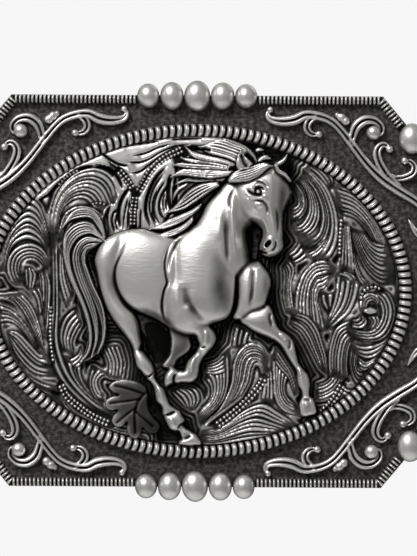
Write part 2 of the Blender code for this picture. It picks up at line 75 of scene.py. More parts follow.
def curve(text, step=0.12, closed=False):
    """A smooth curve through hand-set points, evenly spaced. A radius is carried along."""
    p = np.array([[float(v) for v in spot.split()] for spot in text.split(",")])
    ext = np.concatenate([p[-1:], p, p[:2]] if closed else [2 * p[:1] - p[1:2], p, 2 * p[-1:] - p[-2:-1]])
    t = np.linspace(0, 1, 13)[:-1, None]
    rows = []
    for k in range(len(ext) - 3):
        a, b, c, d = ext[k : k + 4]
        bend = (2 * a - 5 * b + 4 * c - d) * t**2
        rows.append(0.5 * (2 * b + (c - a) * t + bend + (3 * b - a - 3 * c + d) * t**3))
    rows.append(rows[0][:1] if closed else p[-1:])
    out = spaced(np.concatenate(rows), step)
    return out[:-1] if closed else out


def resampled(text, count):
    """A curve as so many evenly spaced points."""
    return spaced(curve(text, 0.05), 0.05, count)


class Grid:
    """A square lattice over part of the face."""

    def __init__(self, x0, x1, z0, z1, step):
        self.step, self.x0, self.z0 = step, x0, z0
        self.nx = round((x1 - x0) / step) + 1
        self.nz = round((z1 - z0) / step) + 1
        self.xs = x0 + step * np.arange(self.nx)
        self.zs = z0 + step * np.arange(self.nz)
        self.X, self.Z = np.meshgrid(self.xs, self.zs)
        self.shape = self.X.shape

    def window(self, line, pad):
        low = line[:, :2].min(0) - pad
        high = line[:, :2].max(0) + pad
        i0 = max(int((low[0] - self.x0) / self.step), 0)
        i1 = min(int((high[0] - self.x0) / self.step) + 2, self.nx)
        j0 = max(int((low[1] - self.z0) / self.step), 0)
        j1 = min(int((high[1] - self.z0) / self.step) + 2, self.nz)
        return slice(j0, max(j1, j0)), slice(i0, max(i1, i0))


def near(grid, line, pad):
    """A window round a line, and in it the distance from the line, the place along it and the radius."""
    win = grid.window(line, pad)
    X = grid.X[win]
    Z = grid.Z[win]
    best = np.full(X.shape, 1e9)
    along = np.zeros(X.shape)
    radius = np.ones(X.shape)
    pieces = len(line) - 1
    for k in range(pieces):
        a = line[k]
        b = line[k + 1]
        dx = b[0] - a[0]
        dz = b[1] - a[1]
        px = X - a[0]
        pz = Z - a[1]
        t = np.clip((px * dx + pz * dz) / (dx * dx + dz * dz + 1e-12), 0, 1)
        d = (px - t * dx) ** 2 + (pz - t * dz) ** 2
        closer = d < best
        best = np.where(closer, d, best)
        along = np.where(closer, (k + t) / pieces, along)
        if len(a) > 2:
            radius = np.where(closer, a[2] + t * (b[2] - a[2]), radius)
    return win, np.sqrt(best), along, radius


def inside(grid, win, loop):
    """Which cells of a window a closed line goes round."""
    X = grid.X[win]
    Z = grid.Z[win]
    odd = np.zeros(X.shape, bool)
    for (ax, az), (bx, bz) in zip(loop[:, :2], np.roll(loop[:, :2], -1, axis=0)):
        if az != bz:
            odd ^= ((az > Z) != (bz > Z)) & (X < (bx - ax) * (Z - az) / (bz - az) + ax)
    return odd


def swell(mask, step):
    """Height of a skin blown up over a mask: a strip of half width w rises to w."""
    rounds = 120

    def solve(m, h):
        u = np.zeros(m.shape)
        if min(m.shape) > 20:
            u = solve(m[::2, ::2], 2 * h)
            u = np.repeat(np.repeat(u, 2, 0), 2, 1)[: m.shape[0], : m.shape[1]]
            u = np.where(m, u, 0.0)
        for _ in range(rounds):
            p = np.pad(u, 1)
            u = np.where(m, 0.25 * (p[:-2, 1:-1] + p[2:, 1:-1] + p[1:-1, :-2] + p[1:-1, 2:] + h * h), 0.0)
        return u
    return np.sqrt(2 * solve(mask, step))


def blur(field, cells):
    """Smoothed by a bell curve of so many cells."""
    reach = max(int(3 * cells), 1)
    w = np.exp(-0.5 * (np.arange(-reach, reach + 1) / cells) ** 2)
    w /= w.sum()
    p = np.pad(field, reach, mode="edge")
    p = sum(w[k] * p[:, k : k + field.shape[1]] for k in range(2 * reach + 1))
    return sum(w[k] * p[k : k + field.shape[0]] for k in range(2 * reach + 1))


def smooth_step(low, high, value):
    t = np.clip((value - low) / (high - low), 0, 1)
    return t * t * (3 - 2 * t)


def dome(square):
    return np.sqrt(np.clip(square, 0, None))


def turned(grid, x, z, rx, rz, turn):
    """Where the cells lie from (x, z), in half widths of an ellipse turned by so many degrees."""
    c, s = math.cos(math.radians(turn)), math.sin(math.radians(turn))
    return ((grid.X - x) * c + (grid.Z - z) * s) / rx, ((grid.Z - z) * c - (grid.X - x) * s) / rz


def patch(grid, a, b, sample, pinch=1.0):
    """Spreads sample(s, t) over the band between curve a (s = 0) and curve b (s = 1), pinched to a share of
    its width at the far end. Gives the mean value in each cell and where the band lies."""
    long = max(len(curve(a, 0.05)), len(curve(b, 0.05)))
    fine = grid.step * 0.45
    count_t = max(int(long * 0.05 / fine), 8)
    A = resampled(a, count_t)
    B = resampled(b, count_t)
    count_s = max(int(np.hypot(*(A - B)[:, :2].T).max() / fine), 6)
    s, t = np.meshgrid((np.arange(count_s) + 0.5) / count_s, np.linspace(0, 1, count_t), indexing="ij")
    squeeze = 1 - (1 - pinch) * np.clip((t - 0.6) / 0.4, 0, 1) ** 1.5
    spread = 0.5 + (s - 0.5) * squeeze
    P = (1 - spread)[..., None] * A[None] + spread[..., None] * B[None]
    i = np.rint((P[..., 0] - grid.x0) / grid.step).astype(int)
    j = np.rint((P[..., 1] - grid.z0) / grid.step).astype(int)
    ok = (i >= 0) & (i < grid.nx) & (j >= 0) & (j < grid.nz)
    cell = (j * grid.nx + i)[ok]
    size = grid.nx * grid.nz
    number = np.bincount(cell, minlength=size)
    total = np.bincount(cell, weights=sample(s, t)[ok], minlength=size)
    return (total / np.maximum(number, 1)).reshape(grid.shape), (number > 0).reshape(grid.shape)


def ridges(count, rng, uneven, ends, weak):
    """Raised strands with cut grooves between them, over s, fading towards the ends of t."""
    cuts = (np.arange(count + 1) + rng.uniform(-uneven, uneven, count + 1)) / count
    cuts[0] = 0
    cuts[-1] = 1
    level = 1 - weak * rng.random(count)
    shift = rng.uniform(0, 0.10, count)
    deep = rng.uniform(0.84, 1.0, count + 1)

    def sample(s, t):
        k = np.clip(np.searchsorted(cuts, s.ravel(), side="right") - 1, 0, count - 1).reshape(s.shape)
        u = (s - cuts[k]) / (cuts[k + 1] - cuts[k])
        start = smooth_step(0, ends[0] + 1e-6, t - shift[k] * 0.6)
        body = start * smooth_step(0, ends[1] + 1e-6, 1 - t - shift[k])
        cut = np.where(u < 0.5, deep[k], deep[k + 1]) * np.abs(2 * u - 1) ** 2.0
        return level[k] * (1 - cut * body) * (0.55 + 0.45 * body)
    return sample


# ---------------------------------------------------------------- the chased panel

# Engraved feathers: (strands, one edge, other edge).
FANS = (
    # upper left
    (9, "-24 9.5, -23.9 13.5, -22.5 17, -20 19.5, -17 20.4, -14.5 19.6, -13.1 17.5, -12.6 14", "-22.9 9.6,"
     "-22.4 12.9, -21 14.6, -19.4 15.2, -18.2 14.9, -17.4 14.1, -16.9 13.6, -15.6 13.2"),
    (4, "-22.8 9.5, -22 12.4, -20.2 13.9, -18 14, -16.2 13.2, -15.2 11.5", "-22.4 8, -21.4 10.6,"
     "-19.6 11.8, -17.8 11.6, -16.6 10.6, -15.6 9.4"),
    # far left
    (9, "-32.6 3, -32.2 7.5, -31 11.8, -28.3 15.2, -26.2 14.4, -25 11.2, -24.4 8", "-31.4 3.3, -31 6,"
     "-29.9 7.6, -28.2 8.3, -26.6 8, -25.6 7.3, -24.9 6.2"),
    (3, "-29.6 15.6, -27.4 17.5, -25.2 19", "-28.2 15.4, -26 15.9, -24.4 16.6"),
    (5, "-24.3 4.3, -25.3 6.7, -27.2 7.8, -29.5 7.3, -31.1 5.5, -31.3 3, -30.2 1, -28.6 0.8", "-24.8 3.4,"
     "-25.8 4.7, -27 5.4, -28.2 5.3, -29 4.5, -29.2 3.3, -28.9 2.4, -28.4 2.3"),
    (3, "-28.3 3.8, -28.4 2.2, -28 0.3", "-27.2 3.8, -26.4 2.4, -27.1 -0.2"),
    (4, "-26.1 3.2, -25.9 1, -25.4 -1.4", "-24.9 3.4, -24.1 1, -24.2 -3.4, -24.7 -8.5"),
    (3, "-27.2 -0.2, -26.3 -1.8, -25.8 -4.2", "-26.1 0.9, -25.4 -0.8, -25.2 -3.6"),
    (4, "-32.9 -1, -30.5 -1.5, -28.6 -3.6, -26.8 -6.8, -25.6 -9.7", "-28.8 -0.6, -27 -2.8, -25.8 -6,"
     "-25.1 -10.2"),
    (4, "-32.9 -2.4, -30.6 -3.3, -28.4 -5.5, -26.3 -9", "-32.7 -5.6, -31 -5.3, -29 -6.4, -26.2 -10.1"),
    (5, "-31.2 -6.6, -29.3 -7, -27.5 -8.7, -26 -10.4, -24.4 -11", "-30.9 -7.6, -29.9 -10.4, -28 -12.8,"
     "-26.2 -14, -23.4 -14.4"),
    (6, "-32.4 -6.6, -30.9 -9.6, -28.2 -13.6, -25.4 -15.4, -22.6 -15.9", "-33.4 -3, -32.2 -8.8,"
     "-29.2 -13.2, -25.7 -16.9, -22.2 -19.3"),
    (2, "-24.2 9.4, -23.9 4, -23.9 -3, -24.3 -8, -24 -11.5, -22.4 -15, -19.6 -18, -16.4 -20.3, -13 -21.8",
     "-22.9 9.2, -22.9 4, -22.7 -3, -22.8 -7.6, -22 -11, -20.7 -14, -18.4 -16.9, -15.6 -19.2, -12.8 -20.6"),
    (4, "-21.7 -11, -20.6 -14, -18.4 -16.9, -15.2 -19.4", "-18.7 -12, -18.8 -14.2, -17.6 -16.5,"
     "-15.4 -18.4"),
    (3, "-17.2 -12.4, -17.7 -15.2, -16.8 -17.7, -15.2 -18.5", "-14.1 -14.1, -15.2 -13.9, -16.2 -14.9,"
     "-15.9 -16.4, -15.1 -17.4"),
    (4, "-19.8 -2.6, -21.8 -4.4, -22.6 -7.4, -22 -10", "-19 -5.6, -19.8 -7, -20.4 -8.6, -20.2 -10.6"),
    (3, "-19 -9.2, -19.6 -10.6, -21.4 -11.6", "-18.8 -10.6, -18.8 -12, -19.6 -13"),
    (3, "-22.4 -17.6, -20.2 -20.2, -17 -21.9, -12.6 -23.2, -8 -24.2", "-22.2 -18.9, -20.4 -20.9,"
     "-17 -22.7, -12.6 -24, -8 -25"),
    (4, "-15.6 -9.4, -14.4 -11.8, -14.4 -14.2", "-12.8 -9, -12 -11.8, -12.3 -14.6"),
    (3, "-21.9 5.6, -21.3 2.6, -20.2 -0.6", "-22.7 6.8, -22.6 1.6, -21.4 -3"),
    # below the body
    (6, "5.5 -9.4, 5.6 -13, 5.4 -16, 4.2 -18.8, 0.8 -22", "1.4 -14.6, 2.4 -15.8, 2.3 -17.8, 0.4 -20"),
    (4, "4.8 -10.2, 3.4 -11.6, 1.4 -12.2", "4.9 -13.4, 3.4 -13.8, 1.6 -13.6"),
    (8, "0.8 -22.4, 3.8 -19.8, 5.8 -15.6, 6.4 -11.4, 8.2 -8.8, 10.4 -8.7, 11.9 -10.8", "7.4 -17.4,"
     "8.7 -15, 9.2 -12.6, 10 -11.5, 11 -12.3, 11.5 -14"),
    (8, "1.2 -23.2, 4.8 -22.2, 8.2 -19.6, 11.2 -18.5, 14 -20, 17.4 -22.4", "0.6 -25.4, 4.5 -25.3,"
     "8.5 -24.7, 11.5 -24.1, 13.8 -23.6"),
    (6, "12.6 -10.6, 12.8 -14, 13.1 -17.4, 14.4 -19.6, 17.2 -20.6", "15.6 -13.8, 14.9 -15.6, 15.2 -17.2,"
     "16.8 -18.8"),
    (3, "13.2 -9.2, 14.6 -11.4, 15.9 -13.6, 16.9 -16.9", "12.9 -11.4, 14 -12.9, 15.4 -14.4, 16.4 -17.2"),
    (3, "11.4 -13.6, 11.2 -16, 10.8 -17.8", "12.6 -12.6, 12.9 -16, 13 -18.6"),
    (3, "6.6 -5.6, 6.2 -7.4, 6 -9.4", "9 -6.8, 8.6 -7.8, 8.4 -8.7"),
    (5, "-2 -15.6, 0.2 -16.2, 0.8 -18, -0.4 -19.8", "-4.2 -16.6, -3.4 -17.6, -2.4 -18.6, -1.4 -19.4"),
    # right of the head
    (5, "16.6 18.4, 18 16.4, 18.3 14, 17.4 12.2, 15.6 11.2", "15.9 17.2, 16.6 15.8, 16.7 14.5, 15.6 13.9"),
    (5, "17.4 19.2, 19.4 16.6, 20.4 13.4, 20 10.9, 18.6 9.4, 16.9 8.7", "16.8 18.4, 18.3 16.2, 18.6 13.8,"
     "18 12.1, 17 11, 15.4 10.9"),
    (3, "17.6 20.4, 20.2 17.6, 21.6 14.5, 22.1 11.5, 21.5 8.9, 20 7.2, 18 6.2", "17.6 19.2, 19.6 16.6,"
     "20.7 13.5, 20.6 11, 19.8 9.3, 17.6 8.2"),
    (3, "21.9 9.2, 21.6 7.8, 20.6 6.5, 19 5.4", "21.4 8.8, 20.6 7.9, 19.6 6.9, 18 6.2"),
    (2, "18.6 20.4, 21.4 17.6, 22.9 14.4, 23.5 11.3, 23.4 8.4, 22.6 6.2, 21.2 5", "17.8 20.3, 20.4 17.4,"
     "21.8 14.3, 22.3 11.5, 21.9 9, 20.9 7, 19.6 5.4"),
    (5, "18.4 20.6, 20 19.4, 21.8 17.2", "18.6 22, 20.8 21, 22.5 19.2, 22.7 17.4"),
    (10, "22.8 17.9, 26 16.6, 28.8 13.8, 30.7 10.3, 32.2 6.2", "23.9 12.8, 26 12.2, 27.8 10.6, 29 8.9,"
     "29.8 8.4"),
    (9, "25.4 10.6, 26.7 6.4, 28.3 3.3, 30.4 1.5, 32.9 1.3", "27.9 9.7, 28.8 8.6, 29.8 8.1, 30.6 8,"
     "31.4 7.9"),
    (4, "28.4 16.4, 31.3 12, 33 7.4, 33.7 3, 33.9 -2", "27.8 15.2, 30.7 10.7, 32.4 6.2, 33.1 2.5,"
     "33.1 -1.5"),
    (4, "24.2 11.6, 24.2 8, 24 5.4, 23.8 3.8", "25.3 11.4, 25.7 8, 26 5.2, 26.4 3"),
    (2, "25.9 7.4, 26.6 4.6, 27.4 2.7, 28.6 1.5", "26.1 4, 26.5 2.9, 27 1.9, 27.8 0.9"),
    (8, "16.4 -3.8, 16.4 -1, 16.9 1.4, 18.1 3.7, 19.9 5.1, 21.6 5.1, 23.1 3.9", "21.5 -6.6, 20.7 -3.5,"
     "20.1 -1.5, 20.4 0.2, 21.1 0.5, 21.6 1.2, 22.3 2.4"),
    (1, "20.7 -0.3, 20.9 -2, 21.9 -3.6", "21.5 -0.3, 21.6 -1.4, 22.1 -2.6"),
    (1, "21.6 -0.5, 21.9 -1.6, 22.2 -2.8", "22.9 -0.2, 22.6 -1.2, 22.3 -2.4"),
    (5, "23.3 2.8, 23.1 0, 22.6 -2.5, 21.8 -4.8", "27.1 1.6, 26.6 -1, 25.5 -3.4, 23.7 -5, 22 -6.3"),
    (2, "24.6 3.4, 26 2.9, 26.8 1.9", "23.3 2.9, 24.6 2.6, 25.6 1.9"),
    (6, "16.4 -3.4, 18.6 -4.1, 20.2 -6, 21.1 -8.6, 21.7 -11, 21.9 -13.6", "15.4 -5.4, 17.2 -6.6,"
     "18.4 -8.4, 19.4 -10.4, 20.7 -12.8"),
    (7, "25.6 -4.6, 23.3 -5.9, 22.3 -8.5, 22 -11, 22.2 -14", "25.9 -8.3, 25.4 -9.5, 25.2 -12, 25.4 -14.8"),
    (5, "25.8 -9, 25.5 -11.5, 25.9 -13.8, 26.8 -15.3, 28.2 -15", "26.9 -10.6, 26.7 -11.8, 27.2 -12.7,"
     "28.2 -12.5"),
    (5, "30.2 0.9, 32.1 -0.2, 33.1 -2.8, 32.6 -5.6, 31.3 -7.6, 29.2 -8.3, 26.5 -7.9, 25 -6.7", "29.3 -0.8,"
     "30.3 -1.8, 30.7 -3.4, 30.3 -5, 29.2 -6.2, 27.6 -6.4, 25.9 -6"),
    (3, "27.1 -3, 27.2 -1.2, 28.4 -0.1, 29.9 -0.4, 30.6 -1.7", "28.3 -2.8, 28.6 -1.9, 29.2 -1.5,"
     "29.7 -1.8, 29.7 -2.5"),
    (1, "28.2 -2.6, 29.1 -2.2, 30.2 -3", "27.4 -3.3, 28.6 -3.9, 30.1 -3.4"),
    (4, "27.4 -4, 28.4 -4.9, 27.6 -6, 25.9 -5.9", "26.9 -3.8, 26.8 -4.2, 26.4 -4.4, 25.9 -4.3"),
    (3, "28.3 -4.1, 29 -5, 28.3 -6.3", "30.2 -3.9, 30.4 -4.8, 29.8 -6"),
    (5, "25.8 -8.4, 27.5 -8.9, 29.5 -8.7, 31.5 -7.8, 32.8 -5.6", "26.8 -10.3, 28.4 -11, 29.8 -10.6,"
     "31 -9.2, 32.4 -6.9"),
    (3, "27 -10.7, 28.3 -11.5, 30.2 -10.5", "27.1 -12.6, 28 -13, 29.3 -12.1"),
    (4, "33.4 -2.4, 32.7 -6.2, 30.9 -9.8, 28.7 -12.8, 26.6 -15.3", "34 -3.5, 33.1 -7.6, 31.2 -11.2,"
     "29 -14.2, 26.6 -16.4"),
    (5, "22.4 -13.9, 21.4 -14.8, 20.2 -15.2", "24.6 -14.3, 23.6 -16.2, 21.8 -17.5, 19.9 -18"),
    (4, "24.3 -15.6, 25.5 -16.1, 27 -15.8", "24.4 -18.2, 25.4 -18.2, 26 -17.6"),
    (4, "15.2 5.4, 16.2 4.2, 16.2 3, 15.8 1.5, 16 -1.5, 16.4 -3.6", "14.2 4, 14.4 2.2, 14.3 -0.8, 15 -3.6"),
    (3, "17 8.4, 16.2 7, 15 6.2", "18.4 6, 17.4 5.2, 16.2 4.6"),
)

# Smooth ground left bright, the first of it running under the mane, and the cuts across it: (width, points).
PLAIN = (
    "-16.6 22.6, -15 21.6, -13.4 20.7, -12.4 20.3, -11.4 19.3, -10.6 17.9, -10 16.9, -9.2 18, -7.6 20.2,"
    "-5.6 22.2, -3 23.6, -1 24.1, 2 24.3, 5 24.9, 4 26.2, 0 26.4, -5 26.1, -10 25.3, -14 24.1",
    "-26.5 15, -24 16.6, -21.6 18.8, -19 20.3, -16.5 20.9, -14.4 20.7, -15.6 22.4, -17 22.6, -20.5 21,"
    "-24 18.8, -27 16.4",
    "-13.3 19.6, -12.2 18.6, -11 16.6, -10.9 14, -11 10.2, -14.9 9, -15.6 10.5, -15.5 12.6, -14.8 13.9,"
    "-13.4 14.6, -13.1 16.5, -13.9 18.4",
    "-9.3 16.6, -8 18.9, -6 21, -4.2 22, -3.6 20, -4 17, -4.2 14, -5.2 12, -6.2 10.6, -9.6 10.2, -9.7 14",
)
CUTS = (
    (0.18, "-15.9 22.8, -14.2 21.6, -12.8 20.9, -11.2 20.7"),
    (0.13, "-12 21.3, -9.6 21.3, -7.8 21.9, -6 23, -3.5 24, -1 24.3"),
    (0.15, "-11.3 19.4, -9.4 19.8, -7.9 20.9, -6.2 22.2, -4 23.4, -2.2 23.9"),
    (0.12, "-10.6 22.3, -8.3 22.9, -6.6 23.7, -4.2 24.4"),
    (0.11, "-13 24, -9 24.4, -6 24.9"),
    (0.11, "-4.6 25, -2 25.2, 1 25.3"),
    (0.22, "-16.8 20.5, -15.2 20.3, -13.6 19.3, -12.7 18, -12.3 16.6"),
    (0.26, "-10.9 17.4, -12.1 15.8, -12.8 14, -12.9 12, -12.5 10.2"),
    (0.12, "-11.4 15.4, -11.8 13.4, -12.1 11.6, -12.1 10"),
    (0.12, "-11 15.4, -11.3 13.2, -11.4 10"),
    (0.15, "-12.9 13.6, -13.8 12.8, -14 11.4, -13.5 9.6"),
    (0.11, "-13.1 13, -13.4 11.4, -13 9.8"),
    (0.24, "-14.2 14.2, -14.8 12.9, -14.9 11, -14.6 8.8"),
    (0.12, "-15 13, -15.4 11.2, -15.1 9.4"),
    (0.14, "-9.2 13.8, -9.3 12, -9.4 9.8"),
    (0.26, "-5 20.8, -7 18.4, -8.2 15.5, -8.4 13, -7.5 10.2"),
    (0.13, "-5.3 19.8, -6.9 17.4, -7.7 15, -7.7 13, -6.6 10.4"),
    (0.15, "-5.1 18.5, -6.4 16.4, -7 14.4, -6.9 12.6, -5.9 10.8"),
    (0.11, "-6.6 16.9, -7.3 14.6, -7.2 12.4, -6.4 10.8"),
    (0.19, "-4.8 17.6, -5.9 15.6, -6.2 14, -5.9 12.6, -5 11.8"),
    (0.11, "-5.3 16.2, -5.6 14.6, -5.3 12.9"),
    (0.12, "-4.9 15.8, -5.1 14.4, -4.9 13.2"),
    (0.29, "-4.3 19.6, -4.7 17, -4.6 15, -4.2 13.2"),
    (0.19, "-24.6 15.9, -22.2 18.3, -19.6 20.1, -17 20.8"),
)
# Rows of punched beads: (pitch, bead radius, gap between the two rows, points).
BEADS = (
    (0.62, 0.26, 0.62, "-12.9 19.9, -11.4 18.1, -10.3 16.5"),
    (0.62, 0.26, 0.66, "-2.4 23.5, -5.4 22, -7.4 20.2, -8.7 18.1, -9.8 16.2"),
    (0.6, 0.24, 0.6, "-10.2 15.6, -10.5 13, -10.6 10.3"),
    (0.66, 0.28, 0.66, "-22.3 -15.6, -21.2 -17.6, -19.2 -19.3, -16.8 -20.9, -13.9 -22.2"),
    (0.7, 0.3, 0.7, "3.6 -22.2, 6.2 -20.2, 8.6 -18, 10.6 -15.7, 11.3 -14.3"),
    (0.66, 0.28, 0, "-24 -2.6, -24.1 -7.5, -23.6 -12"),
    (0.66, 0.28, 0.66, "24.3 -15.4, 23.3 -17.2, 22 -18.9, 20.4 -20.4"),
    (0.66, 0.3, 0, "24 12.1, 23.8 9.5, 23.7 6"),
    (0.66, 0.3, 0, "27.2 -1.2, 27.9 0.3, 29.4 0.9, 31 0.3"),
    (0.66, 0.26, 0.6, "10.2 23.4, 10.8 22.6, 11.6 22"),
    (0.6, 0.24, 0, "-19.6 19.9, -21.4 18.9, -23.2 17.2"),
    (0.6, 0.24, 0, "-17.4 14.3, -16.2 14.5, -15 14.2"),
)
STRAND = 0.5
FILL_PITCH = 0.62
PLAIN_LEVEL = 0.9


def engraving(grid, rng):
    """Height of the engraved face from 0, the bottom of a cut, to 1, the top of a strand, and what the mane
    covers."""
    height = np.zeros(grid.shape)
    taken = np.zeros(grid.shape, bool)
    for count, a, b in FANS:
        apart = np.hypot(*(resampled(a, 9) - resampled(b, 9))[:, :2].T).mean()
        count = max(1, min(count, round(apart / STRAND)))
        value, where = patch(grid, a, b, ridges(count, rng, 0.18, (0.08, 0.12), 0.3))
        height[where] = value[where]
        taken |= where
    # the bare ground between them gets lines that follow its edges
    bare = ~taken
    depth = np.zeros(grid.shape)
    left = bare
    for k in range(26):
        depth += left * grid.step
        p = np.pad(left, 1)
        left = left & p[:-2, 1:-1] & p[2:, 1:-1] & p[1:-1, :-2] & p[1:-1, 2:]
        if k % 2:
            left = left & p[:-2, :-2] & p[2:, :-2] & p[:-2, 2:] & p[2:, 2:]
    depth = blur(depth, 1.6)
    wave = np.abs(np.sin(np.pi * depth / FILL_PITCH)) ** 0.7
    height[bare] = (0.1 + 0.55 * wave * (1 - 0.5 * smooth_step(0.9, 2.4, depth)))[bare]
    under_mane = np.zeros(grid.shape, bool)
    for k, text in enumerate(PLAIN):
        loop = curve(text, 0.1, closed=True)
        win = grid.window(loop, 0.3)
        held = inside(grid, win, loop)
        height[win] = np.where(held, PLAIN_LEVEL, height[win])
        if k == 0:
            under_mane[win] = held
    for wide, text in CUTS:
        win, d, along, _ = near(grid, curve(text, 0.1), 3 * wide)
        taper = smooth_step(0, 0.22, np.minimum(along, 1 - along)) ** 0.5
        groove = 1.1 * taper * np.exp(-((d / (wide * (0.45 + 0.55 * taper))) ** 2))
        height[win] = np.maximum(height[win] - groove, 0.02)
    for pitch, radius, gap, text in BEADS:
        path = curve(text, 0.05)
        win, d, _, _ = near(grid, path, gap / 2 + 2.2 * radius)
        band = d < gap / 2 + 1.25 * radius
        sub = height[win]
        sub[band] = 0.22 + 0.3 * sub[band]
        for row in (-0.5, 0.5) if gap else (0.0,):
            for k in range(int(len(path) * 0.05 / pitch)):
                place = int((k + 0.5) * pitch / 0.05)
                at = path[min(place, len(path) - 2)]
                way = path[min(place + 1, len(path) - 1)] - at
                way /= np.hypot(*way) + 1e-9
                cx = at[0] - way[1] * row * gap
                cz = at[1] + way[0] * row * gap
                r2 = ((grid.X[win] - cx) ** 2 + (grid.Z[win] - cz) ** 2) / radius**2
                sub[...] = np.maximum(sub, 0.95 * dome(1 - r2))
    return height, under_mane


def bevelled(height):
    """The graver leaned over: each strand rises away from the cut on its upper left side, up to the next."""
    cut_below = 0.42
    run = np.zeros(height.shape)
    clear = height > cut_below
    for k in range(1, 26):
        clear = clear & (np.roll(height, (-round(0.83 * k), round(0.55 * k)), axis=(0, 1)) > cut_below)
        run += clear * 0.91**k
    return height + 0.065 * blur(run, 0.7)


# ---------------------------------------------------------------- the horse

BARREL = ("-14.3 4.5, -14.2 7.2, -13.2 9.2, -11.5 10, -9 10.2, -6.5 9.6, -3.5 8.9, -1.5 6, 0 0, -2 -5,"
    "-3.6 -6.3, -5 -5.7, -6.6 -4.7, -8.7 -3.8, -11 -2.5, -12.6 -0.9, -13.5 1.2")
THIGH = ("-15.2 8.3, -14 9.1, -12.6 9.6, -11.6 8.2, -12.6 6, -13.4 3.8, -13.6 1.6, -12.9 -0.6, -11.7 -2.5,"
    "-10.3 -3.9, -9.6 -5.3, -9.3 -7.2, -9.1 -9, -10 -11.2, -10.2 -10, -10.7 -8.6, -11.9 -7, -13 -5.6,"
    "-14 -4.1, -15 -2.1, -15.7 0.2, -16.2 2.6, -16.7 5, -16.2 6.8")
HOCK = ("-10.1 -9.8, -9 -9.9, -8.2 -10.8, -7.3 -12, -6.85 -13.3, -7.2 -14, -8.1 -14.1, -8.9 -13.4,"
    "-9.6 -12.6, -9.95 -11.4")
HIND_CANNON = ("-7.9 -13.6, -6.9 -13.4, -6.75 -14.5, -6 -15.6, -5.2 -16.3, -4.7 -17.6, -4.2 -18.8,"
    "-3.1 -19.6, -4 -20.2, -5.4 -20.5, -5.4 -19.6, -5.7 -18.9, -6.4 -18.2, -6.6 -17.2, -6.8 -16,"
    "-7.3 -15.2, -8.1 -14.4")
FETLOCK = ("-5.1 -20.7, -4 -20.3, -2.9 -19.6, -2.3 -20.5, -1.7 -21.5, -2.3 -21.9, -2.4 -22.4, -2.9 -23,"
    "-4 -22.9, -4.5 -22.1")
PASTERN = "-3 -22.8, -2.3 -22, -1.4 -22.8, -0.3 -23.5, -0.8 -24.2, -1.5 -24.5, -2.2 -24.3, -2.5 -23.4"
HIND_HOOF = ("-2.75 -25.1, -2.2 -24.5, -1.4 -24.2, -0.9 -23.8, -0.2 -23.5, 0.5 -24.2, 1.05 -25.1,"
    "0.6 -25.4, -2.3 -25.4")
HIND_FAR = ("-4.4 -5.6, -1.4 -6.6, -1 -7.8, -0.7 -9, -1.2 -10, -2.3 -10.8, -3.1 -11.5, -3.4 -12.4,"
    "-3.9 -12.8, -4.9 -12.8, -5.6 -12.4, -5 -11.5, -4.4 -10.6, -4.15 -9.4, -4.15 -7.6")
SHOULDER = ("-3.3 9, -1.6 9.9, 0.3 11.2, 5 11, 5.1 6.5, 5.4 5, 6.2 3.6, 6.6 2.4, 6.5 0, 6.2 -2.6,"
    "5.3 -4.2, 4.2 -4.8, 2.4 -5.4, 0 -6.9, -2.2 -6.8, -3.9 -5.9, -5 -4.6, -5.4 -3, -5.3 -1, -4.8 1,"
    "-4.1 2.6, -4.4 4.6, -4 6.8")
FORE = ("-5.3 -1.5, -4.9 0.8, -3.5 1.8, -1.6 0.8, -0.6 -0.8, 0.4 -2.8, 1.5 -4.8, 2.3 -5.8, 3.1 -6.8,"
    "3.35 -7.7, 3.1 -8.6, 2.2 -9.7, 1.1 -10.4, 0.2 -9.7, 0.7 -9, 0.3 -8, -0.1 -7.2, -2.2 -6.9, -3.9 -6,"
    "-5 -4.7, -5.4 -3")
CANNON = ("3.1 -8.6, 2.2 -9.8, 1.2 -11, 0.7 -12, 0.5 -13.2, 0.4 -14, -0.2 -14.8, -1 -15.1, -2.3 -15,"
    "-3.2 -15.35, -3.6 -14.5, -3.4 -13.7, -2.8 -13.2, -2.2 -13.15, -1.8 -13.4, -1.65 -12.5, -1.2 -11.5,"
    "-0.3 -10.5, 0.5 -9.6, 0.85 -8.8, 1.8 -8.2")
FORE_HOOF = ("-4 -15.3, -4.5 -15.6, -4.9 -16, -5.1 -15.2, -5.05 -14.2, -4.7 -13.4, -4 -12.8, -3.3 -12.9,"
    "-2.9 -13.4, -3.3 -13.8, -3.6 -14.4, -3.65 -15.1")
NECK = ("-3.4 8.8, -1 10.1, 0.2 11.4, 1 13, 1.8 14.5, 2.8 15.7, 4 17.1, 5.2 18.4, 7.5 19.6, 9.5 18.5,"
    "9.5 14, 9.2 12.8, 9.3 12, 9.6 11, 9.9 9, 9.8 6.8, 9.2 5.2, 8 4, 6.9 2.8, 5.8 0.5, 3 -1, 0 0, -2 4")
CHEST = ("6.9 2.6, 8.1 4.3, 9.8 5.8, 11 4.2, 12.1 2.7, 12.3 1, 11.8 -0.9, 11.4 -2.1, 10.4 -2.9, 9.2 -3.2,"
    "8.7 -3.6, 8 -4.2, 7.2 -4.6, 6 -4.4, 6.7 -2.8, 7 -0.8, 7 1")
ARM = ("7.2 -4.8, 8 -4, 8.8 -3.2, 10 -3.1, 11.2 -2.6, 11.9 -2, 12.6 -3.2, 13 -4.4, 13.3 -5.4, 13.9 -6.3,"
    "15 -7, 15.9 -7.8, 16.3 -8.8, 16.6 -10.2, 16.9 -11.6, 16.2 -12, 15 -10.3, 14 -8.8, 12.8 -7.9,"
    "11.2 -7.2, 9.6 -6.5, 8.4 -5.7")
